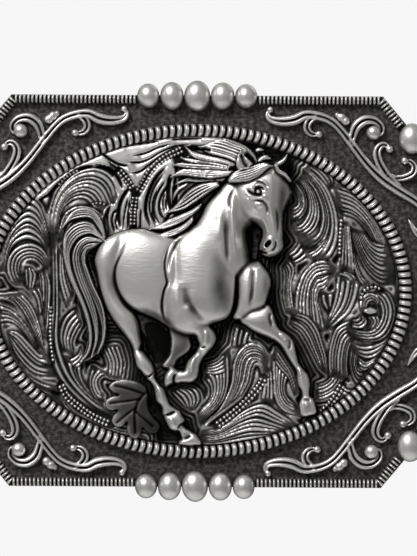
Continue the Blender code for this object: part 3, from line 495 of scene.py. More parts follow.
ARM_CANNON = ("16 -8.6, 16.6 -10.2, 16.9 -11.6, 17.8 -12.8, 18.6 -13.8, 18.9 -15.2, 18.8 -16.4,"
    "18.9 -17.4, 19 -18, 17.6 -18, 17.7 -17, 17.5 -16.2, 17 -15.4, 16.8 -14.2, 16.7 -13, 16 -11.9,"
    "15 -10.3, 14.8 -9.2")
ARM_HOOF = ("17.6 -17.6, 18.9 -17.4, 19.6 -18, 19.8 -19, 20 -20, 19 -20.4, 17.8 -20.6, 17.4 -20.3,"
    "17.3 -19.4, 17.2 -18.6")
HEAD = ("6.3 17.6, 7.4 18.6, 9 19.6, 11.5 20.5, 13 20.7, 14.2 19.6, 15 18.6, 15.5 17.3, 15.6 16.1,"
    "15.1 14.9, 14.5 13.3, 14.2 11.3, 14.15 9.3, 14.3 7.7, 13.9 6.7, 12.9 6, 11.7 5.8, 10.7 6.2, 10.2 7.1,"
    "10.6 8.2, 11 9.2, 10.9 10.1, 10.2 10.9, 9.2 11.7, 8 12.3, 7 13.3, 6.5 14.6, 6.3 16")
EAR = "6.7 20.2, 6.5 21.4, 6.8 22.4, 7.2 23.1, 7.7 22.5, 8.4 21.8, 9.2 21.1, 8.6 20.5, 7.8 20.1"

# Rounded forms in the order they are laid: outline, top, how flat the top is, smoothing radius where it meets
# the rest.
FORMS = (
    (HIND_FAR, 0.9, 0.7, 0.1), (BARREL, 3.4, 0.8, 0.1), (HIND_CANNON, 1.5, 0.7, 0.1),
    (FETLOCK, 1.9, 0.5, 0.1), (PASTERN, 1.3, 0.6, 0.1), (HIND_HOOF, 1.7, 0.4, 0.1), (THIGH, 2.7, 0.85, 0.5),
    (HOCK, 2.0, 0.65, 0.3),
    (CHEST, 2.8, 0.75, 0.1), (ARM, 2.1, 0.7, 0.4), (ARM_CANNON, 1.5, 0.7, 0.3), (ARM_HOOF, 1.7, 0.4, 0.12),
    (NECK, 3.8, 0.75, 0.3), (SHOULDER, 4.3, 0.78, 0.5), (CANNON, 1.7, 0.7, 0.2), (FORE, 3.2, 0.7, 0.5),
    (FORE_HOOF, 1.7, 0.45, 0.12), (HEAD, 4.3, 0.55, 0.1),
)

# Shallow cuts (positive) and raised lines (negative): depth, half width, path.
CREASES = (
    (0.5, 0.19, "-11.2 8.6, -12.2 6.4, -13.2 4.2, -13.4 2, -12.7 -0.4, -11.2 -2.6, -9.4 -4.2"),
    (0.5, 0.8, "-10.4 -3, -7.5 -4, -5 -5.2, -3 -6"),
    (0.75, 0.21, "-3.4 8.9, -4.7 6.8, -5.2 4.5, -5 2.5, -4.8 1.4, -5.3 0, -5.6 -2, -5.4 -4, -4.7 -5.8"),
    (0.9, 0.22, "6.7 3.4, 6.6 1.6, 6.5 0, 6.2 -2.5, 5.3 -4.4"),
    (0.5, 0.75, "-2 1.4, -1.9 0, -1.6 -1.6, -1 -2.8"),
    (0.3, 0.5, "-1.4 -1.8, 0 -3.4, 1.6 -5"),
    (-0.2, 0.8, "-3.8 1.6, -3.6 -0.8, -3 -3.2"),
    (0.45, 0.24, "-1.7 9.6, -3 8.2, -4.1 6.2, -4.6 4.2, -4.5 2.6"),
    (0.45, 0.42, "4.8 12.2, 4.9 9, 5.1 6, 5.6 4.2"),
    (-0.55, 0.5, "6.4 16.8, 6 15.2, 5.85 13.2, 6 11, 6.3 8, 6.7 5.4"),
    (-0.2, 0.6, "4 14, 3.8 11, 3.6 8"),
    (2.6, 1.5, "9.2 12.4, 9.2 10.5, 9.2 8, 9.6 5.6, 9.9 3.6"),
    (0.35, 0.2, "6.3 17, 5.65 15.9, 5.4 14.7, 5.65 13.1"),
    (0.5, 0.35, "9.4 5, 9.3 2.4, 9.2 0, 8.8 -2.8"),
    (0.6, 0.15, "-5.3 -20.55, -4.2 -20.3, -3 -19.7"),
    (0.45, 0.16, "-1.6 -21.8, -2.4 -22, -3 -22.9"),
    (0.35, 0.16, "-2.1 -24.4, -1.3 -24.2, -0.6 -23.7"),
    (0.5, 0.15, "-8.4 -14.15, -7.7 -14.1, -7.1 -13.6, -6.95 -13"),
    (-0.3, 0.3, "-7 -14.2, -6.2 -15.6, -5.7 -17, -5.2 -18.6"),
    (-0.25, 0.3, "-4.2 -20.6, -3.8 -21.6, -3.4 -22.6"),
    (0.75, 0.15, "-3.3 -13.5, -3.65 -14.4, -3.6 -15.3"),
    (-0.3, 0.3, "1.7 -6, 1.7 -7.6, 1.2 -9.2"),
    (0.4, 0.18, "0.7 -9.1, 1.2 -9.3, 1.7 -9"),
    (-0.35, 0.32, "0.3 -10.4, -0.4 -11.3, -0.7 -12.4, -0.9 -13.6"),
    (0.3, 0.2, "17.3 -18, 18.2 -17.8, 19.3 -17.9"),
    (-0.25, 0.3, "17.8 -18.4, 18.3 -18.4, 18.8 -18.4"),
    (-0.35, 0.3, "17 -12.4, 17.3 -13.4, 17.5 -14.4"),
    (-0.4, 0.35, "13.7 -6.9, 14.4 -7.2, 15 -8"),
    (0.35, 0.3, "12.5 -3, 12.2 -4.4, 12.7 -6"),
    (0.25, 0.3, "15.4 -7.4, 15.6 -8.6, 15.3 -9.8"),
    # head: lids, brow, cheek bone, bridge of the nose, jaw and mouth
    (0.85, 0.2, "8.2 17, 8.8 16.35, 9.6 15.95, 10.5 15.9, 11.15 16.2"),
    (0.6, 0.17, "9.2 16.8, 9.75 17.1, 10.3 17.2, 10.85 16.95, 11.2 16.4"),
    (-0.5, 0.2, "9 17.15, 9.7 17.5, 10.4 17.6, 11.05 17.25, 11.5 16.5"),
    (0.4, 0.16, "9.6 17.95, 10.4 18, 11.15 17.65, 11.7 16.9"),
    (-0.2, 0.16, "10.2 18.4, 11.1 18.1, 11.9 17.3"),
    (-0.4, 0.32, "7.9 16.6, 8.7 15.8, 9.8 15.4, 10.9 15.45, 11.8 15.8"),
    (0.45, 0.24, "9 14.9, 10.1 15, 11.1 14.6, 11.6 13.6, 11.5 12.3"),
    (-0.4, 0.28, "11.6 15.2, 12.1 13.8, 12.5 12.4, 12.8 11, 12.85 9.6, 12.4 8.9"),
    (0.25, 0.22, "12.9 14.4, 13.3 12.2, 13.4 10.2, 13.3 8.8"),
    (-0.4, 0.42, "8.1 16, 8.5 14.9, 9.2 13.9, 9.9 13"),
    (-0.3, 0.3, "10.5 12.4, 11.2 11.4, 11.5 10.4, 11.7 9.4"),
    (0.8, 0.2, "10.5 6.95, 11 6.5, 11.9 6.3"),
    (0.6, 0.14, "13 8.7, 13.05 7.7, 12.7 7, 12.1 6.7"),
    (0.6, 1.1, "14 19.2, 14.2 17.2, 14 15, 13.9 12.4, 13.9 9.4"),
)

# Locks with pointed tips: strands, height at the root, height at the tip, ridge height, one edge, other edge.
LOCKS = (
    # tail
    (3, 1.1, 0.7, 0.4, "-16 8, -18.3 7.6, -19.5 6, -19.1 3.5, -17.9 0.4, -16.6 -2.4, -15.7 -5.4,"
     "-15.7 -8.2, -16.5 -10.6", "-16.9 7.4, -18.2 6.6, -18.4 5, -17.8 3.2, -16.7 0.4, -15.4 -2.4,"
     "-14.8 -5.4, -14.9 -8, -16 -10.8"),
    (3, 1.5, 0.9, 0.5, "-15.1 8.2, -16.6 8.7, -18.2 8.9, -19.7 7.9, -20.5 6, -20.3 3.7, -19.4 1, -18.1 -2,"
     "-17.2 -5, -16.9 -8, -17.6 -11", "-15.3 7.9, -16.6 8.1, -18 7.9, -19 6.9, -19.3 5.2, -18.8 3,"
     "-17.9 0.6, -16.8 -2.2, -16.1 -5, -15.9 -8, -16.8 -11"),
    (5, 1.7, 1, 0.5, "-15 8.3, -16.2 9.7, -17.2 11, -18.6 11.4, -20.4 10.8, -21.7 9.2, -22 6.5, -21.4 3.4,"
     "-20.2 0.4, -18.9 -2.4, -18 -5.2, -17.7 -8, -18.2 -10.2, -19.6 -12.1", "-15.2 8.1, -16.5 9,"
     "-17.8 9.4, -19.6 8.6, -20.8 6.6, -20.7 4, -19.8 1.2, -18.5 -1.8, -17.5 -4.6, -17 -7.5, -17.3 -10,"
     "-18.6 -11.8"),
    (4, 1.3, 0.7, 0.4, "-15 8.6, -15.5 11, -16.7 13, -18.6 13.7, -20.8 13, -22.6 10.8", "-15.4 9,"
     "-16.5 10.8, -17.4 11.9, -19 12, -20.8 11.3, -22 9.6"),
    # mane, from the back to the front
    (2, 1.3, 0.7, 0.34, "-1.4 17.9, -2.8 17.3, -3.7 16.3, -4 15", "-2 17.2, -2.9 16.6, -3.4 15.8,"
     "-3.8 14.9"),
    (2, 0.9, 0.6, 0.3, "-0.4 17.6, -1.8 16.6, -2.8 15.4, -3.4 14.6", "0 17.2, -1.2 16.2, -2.2 15.2,"
     "-3.3 14.5"),
    (2, 2.3, 1, 0.3, "4.8 18.7, 2 18.5, -0.5 18.8, -2 18.7, -3.7 17.7", "4.2 18.2, 2 18.1, 0 18, -1.5 18,"
     "-3.6 17.5"),
    (4, 3.3, 1, 0.62, "3.4 18, 2 17.9, 0.5 17.6, -1 16.8, -2.6 15.3, -4 13.6", "3.7 17.4, 2.5 16.7,"
     "1 15.6, -0.5 14.5, -2.2 13.4, -4 12.7, -6 12.2"),
    (4, 3.1, 1.3, 0.62, "0.8 14.4, -1 13.3, -3 12.4, -5 11.6, -7.2 10.5", "0.2 13.4, -1.5 12, -3.5 10.9,"
     "-6 10.1, -8.7 9.9"),
    (3, 3.3, 1.5, 0.62, "-0.6 12.4, -2 11.1, -3.6 10.3, -5.5 9.7, -6.7 9.4", "-0.7 11.4, -1.8 10.3,"
     "-3 9.5, -4.6 8.9, -7.2 8.7"),
    (4, 3.6, 1.8, 0.56, "6 19.9, 3 20, 0 20.1, -2.6 20.2, -4.4 19", "5.2 19.1, 2.5 18.65, 0 18.85, -2 19,"
     "-4.4 18.6"),
    (2, 3.7, 1.6, 0.5, "5.2 20.4, 2 20.9, -1 21.1, -3 21.4, -4.1 20.9", "5.2 20, 2 20.05, -1 20.2,"
     "-2.8 20.35, -4.1 20.6"),
    (2, 3.8, 1.4, 0.5, "5.6 20.6, 3 21.2, 0 21.75, -1.5 22.1, -2.6 22.3", "5.2 20.35, 2 20.9, -1 21.15,"
     "-2.2 21.5, -2.8 22"),
    (3, 4, 1.9, 0.56, "6.3 21, 5 21.6, 3.5 22, 2 22.3, 0.5 22.7, -0.8 23.3, -2 24.1", "5.9 20.6, 4 21.05,"
     "2 21.35, 0.2 21.75, -1.1 22.4, -2 23.8"),
    (3, 3, 2.2, 0.34, "4.3 25.3, 6.4 24.7, 8.3 23.8, 9.8 22.4, 10.3 21.3", "4.4 24.9, 6.2 24.2, 7.8 23.2,"
     "8.9 22.1, 9.4 21.2"),
    (6, 4, 2.1, 0.5, "8.4 23.3, 7.4 23.9, 6.2 24.3, 5 24.8, 3.5 25.1, 2.2 24.8, 0.7 24", "6.4 21.2,"
     "5.2 21.8, 3.6 22.3, 2.2 22.65, 1.2 22.95, 0.4 23.3, -0.2 23.8"),
    (3, 1.2, 0.8, 0.34, "9.9 21.6, 10.6 22.3, 11.5 22.6, 12.4 22.1", "10.3 21.3, 11 21.7, 11.7 21.8,"
     "12.3 21.7"),
    (2, 0.9, 0.7, 0.34, "9.7 23.5, 10.3 23.8, 11.1 23.6", "9.8 23, 10.4 23.2, 11.1 23.2"),
    # forelock
    (6, 4.4, 4.6, 0.75, "5.2 18.4, 6 19.5, 7 20.1, 8.3 20.5, 9.5 20.8, 10.5 21.3, 11.6 21.5, 12.6 20.8",
     "5.4 18, 7 18, 8.5 18.1, 9.6 18.6, 11 19.4, 12.4 20.6"),
)

# The hair's bed under the locks: outline, top.
BEDS = (
    ("7.6 22.6, 6.4 23.6, 4.6 24.4, 2.6 24.4, 0.2 23.6, -1.4 22.6, -3 20.6, -3.4 18.6, -3.2 16.2,"
     "-3.4 13.8, -4.6 12.2, -5.6 10, -4.6 9.4, -1 10, 0.6 12.4, 2.2 15, 4.6 17.6, 6.2 19.6", 1.1),
    ("-15 8.6, -16.3 11.6, -18.8 12.4, -21 11.2, -22.1 8.6, -22 5.6, -21 2, -19.2 -2, -18.2 -5.4,"
     "-18 -8.4, -18.6 -10.6, -19.4 -12, -17.4 -11.4, -15.6 -9.6, -14.9 -7.6, -15.2 -4.6, -16.2 -1.6,"
     "-17.4 1.4, -18.2 4.2, -17.9 6.2, -16.6 7.2", 0.8),
)

# The near ear's fold, the far ear's rolled edges with their tops, and the mane's parting.
EAR_FOLD = "7.35 22.3, 7.6 21.4, 8.1 20.6"
ROLLS = (
    ("13.2 21 0.34, 14.2 21.6 0.32, 14.9 22.6 0.12", 3.0),
    ("13 20.8 0.3, 13.5 19.9 0.34, 14.5 19.3 0.34, 15.5 18.2 0.16", 3.6),
)
PARTING = "-0.2 23.6, 1 23.5, 1.9 23.3"


def union(a, b, soft):
    """The higher of two forms, with the corner between them filled."""
    top = 0.5 * (a + b + np.sqrt((a - b) ** 2 + soft**2))
    return top - 0.5 * soft * np.exp(-((a - b) ** 2) / (soft**2 + 1e-9)) * 0.6


def blown(grid, text, pad, smooth=False):
    """An outline's window and the skin blown up in it, from 0 outside to 1 at its top."""
    loop = curve(text, 0.12, closed=True)
    win = grid.window(loop, pad)
    mask = inside(grid, win, loop)
    raw = swell(blur(mask.astype(float), 1.5) > 0.3 if smooth else mask, grid.step)
    return win, raw / raw.max()


def horse_field(grid, rng):
    """Height of the horse above the panel, below zero outside it, where it is hair, and the creases' oxide."""
    H = np.full(grid.shape, -1.2)
    for outline, top, power, soft in FORMS:
        win, raw = blown(grid, outline, 0.8, smooth=True)
        form = np.where(raw > 0, 0.45 + (top - 0.45) * raw**power, -1.2)
        sharp = np.maximum(H[win], form)
        if soft < 0.15:
            H[win] = sharp
        else:
            H[win] = np.where(raw > 0, np.maximum(union(H[win], form, soft), sharp), H[win])
    H = blur(np.maximum(H, -0.8), 1.3)
    # the head turns away towards the nose's far side
    face = curve(HEAD, 0.12, closed=True)
    win = grid.window(face, 0.5)
    away = 0.55 * np.clip(grid.X[win] - 12.4, 0, 2.8)
    H[win] -= away * inside(grid, win, face) * smooth_step(9.0, 13.5, grid.Z[win])
    H = blur(H, 0.8)
    oxide = np.zeros(grid.shape)
    for depth, wide, text in CREASES:
        win, d, along, _ = near(grid, curve(text, 0.1), 2.6 * wide)
        fade = smooth_step(0, 0.3, np.minimum(along, 1 - along))
        H[win] -= depth * np.exp(-((d / wide) ** 2)) * fade * smooth_step(0.0, 0.5, H[win])
        if depth > 0 and wide < 0.45:
            left = min(depth * 1.2, 1) * np.exp(-((d / (0.9 * wide)) ** 2)) * fade
            oxide[win] = np.maximum(oxide[win], left)

    def ball(x, z, rx, rz, height, turn=0.0):
        u, v = turned(grid, x, z, rx, rz, turn)
        return height * dome(1 - u * u - v * v)

    # eye, cheek, nostril
    eye = (10.1, 16.45)
    H -= 0.55 * (ball(*eye, 0.62, 0.6, 1) > 0)
    oxide = np.maximum(oxide, 0.9 * (ball(*eye, 0.66, 0.64, 1) > 0) * (ball(*eye, 0.3, 0.3, 1) == 0))
    H += ball(*eye, 0.38, 0.38, 0.8)
    H += ball(10.4, 14.35, 0.6, 0.6, 0.25)
    H += ball(11.85, 7.85, 1.1, 1.3, 0.5, -25)
    H -= ball(11.8, 7.9, 0.45, 0.75, 1.8, -35)
    oxide = np.maximum(oxide, ball(11.8, 7.9, 0.45, 0.75, 1, -35) ** 0.5)
    for text, top in ROLLS:
        win, d, _, r = near(grid, curve(text, 0.1), 1.0)
        H[win] = np.maximum(H[win], np.where(d < r, top + dome(r * r - d * d), -9))
    hair = np.full(grid.shape, -9.0)
    for outline, top in BEDS:
        win, raw = blown(grid, outline, 0.6)
        hair[win] = np.maximum(hair[win], np.where(raw > 0, 0.3 + (top - 0.3) * raw**0.5, -9))
    for count, root, tip, lift, a, b in LOCKS:
        strands = ridges(count, rng, 0.2, (0.02, 0.06), 0.25)

        def sample(s, t):
            crown = 0.78 + 0.22 * dome(1 - (2 * s - 1) ** 2)
            return (root + (tip - root) * t) * crown + lift * (strands(s, t) - 0.5) * 1.6
        value, where = patch(grid, a, b, sample, 0.12)
        hair = np.where(where, np.maximum(value, -0.5), hair)
    win, d, _, _ = near(grid, curve(PARTING, 0.1), 1.0)
    hair[win] -= np.where(hair[win] > 0, 1.6 * np.exp(-((d / 0.26) ** 2)), 0)
    H = np.maximum(H, hair)
    loop = curve(EAR, 0.1, closed=True)
    win = grid.window(loop, 0.5)
    raw = swell(inside(grid, win, loop), grid.step)
    H[win] = np.where(raw > 0, 4.6 + 0.5 * (raw / raw.max()) ** 0.5, H[win])
    win, d, _, _ = near(grid, curve(EAR_FOLD, 0.1), 3.0)
    H[win] -= 1.5 * np.exp(-((d / 0.34) ** 2))
    return H, (hair > -5) & (hair > H - 0.3), oxide


# ---------------------------------------------------------------- meshes


def placed(name, data):
    obj = bpy.data.objects.new(name, data)
    bpy.context.scene.collection.objects.link(obj)
    return obj


def new_object(name, verts, faces, wear_and_shade):
    """A smooth-shaded mesh from (x, height, z) points in millimetres. The last argument is how far the oxide
    is rubbed off at each point, painted shade and painted light included, from 0, all black, to 1, bare metal."""
    mesh = bpy.data.meshes.new(name)
    co = np.empty((len(verts), 3), np.float32)
    co[:, 0] = verts[:, 0] * MM
    co[:, 1] = (REAR_Y - verts[:, 1]) * MM
    co[:, 2] = verts[:, 2] * MM
    mesh.vertices.add(len(verts))
    mesh.vertices.foreach_set("co", co.ravel())
    mesh.loops.add(faces.size)
    mesh.loops.foreach_set("vertex_index", faces.astype(np.int32).ravel())
    mesh.polygons.add(len(faces))
    mesh.polygons.foreach_set("loop_start", np.arange(len(faces), dtype=np.int32) * faces.shape[1])
    mesh.update(calc_edges=True)
    mesh.validate()
    mesh.polygons.foreach_set("use_smooth", np.ones(len(mesh.polygons), bool))
    worn_and_shaded = mesh.attributes.new("worn_and_shaded", "FLOAT", "POINT")
    worn_and_shaded.data.foreach_set("value", wear_and_shade.astype(np.float32))
    obj = placed(name, mesh)
    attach(obj, "buckle")
    return obj


def skin(name, grid, height, keep, wear_and_shade, mirror=(1, 1)):
    """The face of a relief over the cells to keep, mirrored for a corner."""
    quad = keep[:-1, :-1] & keep[1:, :-1] & keep[:-1, 1:] & keep[1:, 1:]
    j, i = np.nonzero(quad)
    corner = j * grid.nx + i
    faces = np.stack([corner, corner + 1, corner + grid.nx + 1, corner + grid.nx], axis=1)
    used = np.unique(faces)
    index = np.full(grid.nx * grid.nz, -1)
    index[used] = np.arange(len(used))
    faces = index[faces]
    X, up, Z = (field.ravel()[used] for field in (grid.X, height, grid.Z))
    verts = np.stack([X * mirror[0], up, Z * mirror[1]], axis=1)
    if mirror[0] * mirror[1] < 0:
        faces = faces[:, ::-1]
    return new_object(name, verts, faces, wear_and_shade.ravel()[used])


def joined_meshes(parts):
    """Several (verts, faces, cav) as one."""
    verts, faces, wear_and_shade = zip(*parts)
    starts = np.cumsum([0] + [len(v) for v in verts])
    return np.concatenate(verts), np.concatenate([f + s for f, s in zip(faces, starts)]), np.concatenate(wear_and_shade)


def out_facing(verts, faces):
    """The faces turned so that they look towards the viewer."""
    p = verts[faces]
    ax, az = p[:, 1, 0] - p[:, 0, 0], p[:, 1, 2] - p[:, 0, 2]
    bx, bz = p[:, 3, 0] - p[:, 0, 0], p[:, 3, 2] - p[:, 0, 2]
    return faces if (ax * bz - az * bx).sum() > 0 else faces[:, ::-1]


ROUND = np.array([(math.cos(t), math.sin(t)) for t in np.linspace(math.pi, 0, 13)])
STATIONS = np.array([0.0, 0.05, 0.12, 0.22, 0.36, 0.5, 0.64, 0.78, 0.88, 0.95])


def roped(path, normals, ribs, half, height, valley, sharp, bow=0.0, twist=0.0):
    """A beaded wire: ribs with narrow cuts between them. With a bow it's a closed ring whose ribs curve."""
    closed = bow != 0
    at = (np.arange(ribs)[:, None] + STATIONS[None]).ravel() / ribs
    if not closed:
        at = np.concatenate([at, [1.0]])
    bump = 1 - np.abs(2 * ((at * ribs) % 1.0) - 1) ** sharp
    side = np.concatenate([[-1], ROUND[:, 0], [1]])
    size = len(path)
    shift = (bow * np.sin(2 * math.pi * at)[:, None] * (side[None] ** 2 - 0.5) + twist * side[None]) / ribs
    spot = (at[:, None] + shift) % 1.0 * size if closed else (at[:, None] + 0 * shift) * (size - 1)
    low = np.floor(spot).astype(int) % size
    high = (low + 1) % size
    part = (spot - np.floor(spot))[..., None]
    p = path[low] * (1 - part) + path[high] * part
    q = normals[low] * (1 - part) + normals[high] * part
    q /= np.linalg.norm(q, axis=-1)[..., None]
    profile = np.stack([ROUND[:, 0] * half, np.maximum(ROUND[:, 1], 0) ** 0.5 * height], axis=1)
    profile = np.concatenate([[(-half, -0.1)], profile, [(half, -0.1)]])
    shape = np.concatenate([[0], ROUND[:, 1], [0]])
    wear_and_shade = 1.4 * smooth_step(0.42, 0.8, bump)[:, None] * (0.3 + 0.7 * shape[None] ** 0.5)
    across = profile[None, :, 0] * (0.86 + 0.14 * bump)[:, None]
    up = profile[None, :, 1] * (valley + (1 - valley) * bump)[:, None]
    x, z = p[..., 0] + q[..., 0] * across, p[..., 1] + q[..., 1] * across
    verts = np.stack([x, SEAT - 0.04 + up, z], axis=-1).reshape(-1, 3)
    n, m = p.shape[:2]
    rows = np.arange(n if closed else n - 1)[:, None]
    k = np.arange(m - 1)[None]
    a = (rows * m + k).ravel()
    b = (((rows + 1) % n) * m + k).ravel()
    return verts, out_facing(verts, np.stack([a, a + 1, b + 1, b], axis=1)), wear_and_shade.ravel()


def oval_ring():
    """The rope ring, its ribs evenly spaced along the oval."""
    ribs, count = 164, 2400

    def oval(t, a, b):
        return np.stack([a * np.cos(t), b * np.sin(t)], axis=1)

    turn = np.linspace(0, 2 * math.pi, 6001)
    length = lengths(oval(turn, RING_A, RING_B))
    t = np.interp(np.arange(count) * length[-1] / count, length, turn)
    normals = oval(t, RING_B, RING_A)
    normals /= np.linalg.norm(normals, axis=1)[:, None]
    path = oval(t, RING_A, RING_B)
    return roped(path, normals, ribs, half=1.05, height=1.65, valley=0.2, sharp=1.95, bow=0.16, twist=-0.06)


def wire_path(signs, upright):
    """An edge wire's centre line, the same as in CAD."""
    inset, start, end = 0.76, 10.05, 2.75
    chamfer = np.array([HALF_H - CLIP_Z, HALF_W - CLIP_X])
    nx, nz = chamfer / np.linalg.norm(chamfer)
    reach = nx * CLIP_X + nz * HALF_H - inset
    berry = np.array([BERRY_X, BERRY_Z])
    foot = berry + np.array([nx, nz]) * (reach - berry @ np.array([nx, nz]))
    along = np.array([nz, -nx])
    if upright:
        x = HALF_W - inset
        path = [(x, start), (x, (reach - nx * x) / nz), tuple(foot + along * end)]
    else:
        z = HALF_H - inset
        path = [(start, z), ((reach - nz * z) / nx, z), tuple(foot - along * end)]
    fine = []
    for a, b in zip(path, path[1:]):
        count = max(int(math.dist(a, b) / 0.1), 2)
        fine += [(a[0] + (b[0] - a[0]) * k / count, a[1] + (b[1] - a[1]) * k / count) for k in range(count)]
    fine = np.array(fine + [path[-1]])
    way = np.gradient(fine, axis=0)
    way /= np.linalg.norm(way, axis=1)[:, None]
    return fine * signs, np.stack([way[:, 1], -way[:, 0]], axis=1) * signs


def edge_wires(signs):
    """A corner's two wires, along and up."""
    pitch = 0.68
    parts = []
    for upright in (False, True):
        path, normals = wire_path(np.array(signs, float), upright)
        length = np.hypot(*np.diff(path, axis=0).T).sum()
        ribs = round(length / pitch)
        parts.append(roped(path, normals, ribs, half=0.7, height=1.28, valley=0.3, sharp=1.5))
    return joined_meshes(parts)


def berry(x, z, rx, rz, rng):
    """A smooth cast ball, a little uneven, that closes under its waist."""
    around, rows, height = 48, 18, 2.13
    turn = np.arange(around) * 2 * math.pi / around
    lean = np.linspace(0.0, math.radians(97), rows)
    uneven = 1 + 0.012 * np.sin(2 * turn + rng.uniform(0, 6)) + 0.008 * np.sin(3 * turn + rng.uniform(0, 6))
    r = np.sin(lean)[:, None] * uneven[None]
    h = np.cos(lean)[:, None] * np.ones(around)[None]
    up = SEAT + 0.25 + height * h
    verts = np.stack([x + rx * r * np.cos(turn), up, z + rz * r * np.sin(turn)], axis=-1).reshape(-1, 3)
    row = np.arange(rows - 1)[:, None] * around
    a = row + np.arange(around)[None]
    b = row + (np.arange(around)[None] + 1) % around
    faces = np.stack([a, b, b + around, a + around], axis=-1).reshape(-1, 4)
    wear_and_shade = np.repeat(np.clip(0.1 + 0.95 * np.maximum(np.cos(lean), 0) ** 0.6, 0.05, 1), around)
    return verts, out_facing(verts, faces), wear_and_shade


# ---------------------------------------------------------------- corner scrolls and the leaf

SCROLL = (
    "12.1 30.3 0.3, 11.7 29.3 0.5, 12.3 28.5 0.66, 14.2 28.2 0.85, 16.2 28.5 0.92, 18 29.3 0.8,"
    "20.2 29.1 0.75, 22.2 28.3 0.7, 23.9 26.7 0.68, 26 24 0.72, 28.3 21.1 0.76, 30.8 18.7 0.86,"
    "33.6 16.8 0.86, 36.2 15.2 0.76, 37.6 13.8 0.7, 38 12.2 0.66, 37.8 10.5 0.6, 36.9 9.6 0.6,"
    "36.1 10.4 0.5, 35.5 11.4 0.35, 35.1 12.1 0.15",
    "25.6 24.3 0.5, 25.8 25.9 0.7, 26.4 27.5 0.85, 27.8 28.5 0.85, 29.4 28.4 0.72, 30.5 27.4 0.6,"
    "30.4 26.3 0.5, 29.5 26.1 0.5",
    "19.6 29 0.5, 18.5 28.2 0.68, 18.2 27.1 0.68, 18.9 26.2 0.55, 20.2 26 0.3",
    "33.4 17.6 0.6, 31.7 19.2 0.7, 30.3 21.3 0.76, 29.8 23.1 0.74, 30.3 24.2 0.62, 31.2 24.4 0.5,"
    "32.1 23.6 0.3",
    "32.6 18.9 0.5, 34.2 19 0.6, 35.7 19.7 0.64, 36 20.9 0.56, 35.3 21.7 0.45, 34.4 21.9 0.25",
    "30.6 18.4 0.3, 31.6 19.2 0.5, 32.6 19.2 0.42, 33 18.5 0.2",
)
BALLS = ((29.2, 26.4, 1.25), (12.1, 30.1, 0.62), (20.2, 26.1, 0.68), (31.9, 23.7, 0.72), (34.4, 21.8, 0.72))
BUD = ((23.2, 29.3, 0.6), (23.9, 28.9, 0.85), (24.6, 28.3, 0.85))
LEAF = ("-8 -16.2, -9 -15.3, -10.6 -14.7, -12.4 -14.6, -13.8 -15.1, -14.4 -16, -13.6 -16.9, -12.6 -17.2,"
    "-13.8 -17.4, -14.9 -18.2, -14.9 -19.3, -13.9 -19.9, -12.8 -19.7, -13.6 -20.6, -13.9 -21.7, -13 -22.6,"
    "-11.9 -22.4, -11.3 -21.7, -11.4 -23, -10.8 -24.2, -9.7 -24.5, -8.9 -23.6, -8.8 -22.5, -8.1 -23.3,"
    "-7 -23.7, -6 -23.1, -5.9 -22, -6.8 -21, -7.6 -19.8, -7.9 -18.2")
VEINS = (
    "-7.9 -16.6, -9.4 -18.2, -10 -20.5, -9.9 -23.6",
    "-9.2 -17.9, -11.8 -18.3, -14 -18.6",
    "-8.6 -17, -11 -16.2, -13.2 -15.7",
    "-9.9 -19.4, -11.4 -20.5, -12.9 -21.8",
    "-9.9 -20, -8.6 -21, -7 -22.4",
)


def with_balls(H, grid, balls, base):
    for x, z, radius in balls:
        d2 = (grid.X - x) ** 2 + (grid.Z - z) ** 2
        H = np.maximum(H, np.where(d2 < radius**2, base + 1.1 * dome(radius**2 - d2), OUTSIDE))
    return H


def scroll_field(grid):
    """Height of a corner's scrolls: round stems with a groove along them, and balls."""
    H = np.full(grid.shape, OUTSIDE)
    for text in SCROLL:
        win, d, along, r = near(grid, curve(text, 0.12), 1.4)
        r = r * 1.12
        tube = np.where(d < r, 0.35 + 1.2 * np.clip(r * r - d * d, 0, None) ** 0.5, OUTSIDE)
        fade = np.clip(np.minimum(along, 1 - along) * 9, 0, 1) * smooth_step(0.3, 0.5, r)
        tube -= 0.95 * fade * np.exp(-((d / (0.2 * r)) ** 2))
        H[win] = np.maximum(H[win], tube)
    return with_balls(H, grid, BALLS, 0.4)


def leaf_field(grid):
    """Height of the oak leaf, with its veins cut in."""
    H = np.full(grid.shape, OUTSIDE)
    win, raw = blown(grid, LEAF, 0.6)
    H[win] = np.where(raw > 0, 0.35 + 0.75 * raw**0.5, OUTSIDE)
    for text in VEINS:
        win, d, _, _ = near(grid, curve(text, 0.1), 1.6)
        H[win] = np.where(H[win] > 0, H[win] - 0.4 * np.exp(-((d / 0.17) ** 2)), H[win])
    return H


def relief(field, floor, cells):
    """A field's rounded face, and the cells that it covers."""
    return blur(np.maximum(field, floor), cells), blur((field > 0).astype(float), 1.5) > 0.03


# ---------------------------------------------------------------- materials


def shaded(kind, name):
    """A new material or world, its nodes and what links them."""
    data = kind.new(name)
    data.use_nodes = True
    return data, data.node_tree.nodes, data.node_tree.links.new


def setting(node, **values):
    """Sets a node's sockets by name, with _ for a space."""
    for key, value in values.items():
        node.inputs[key.replace("_", " ")].default_value = value


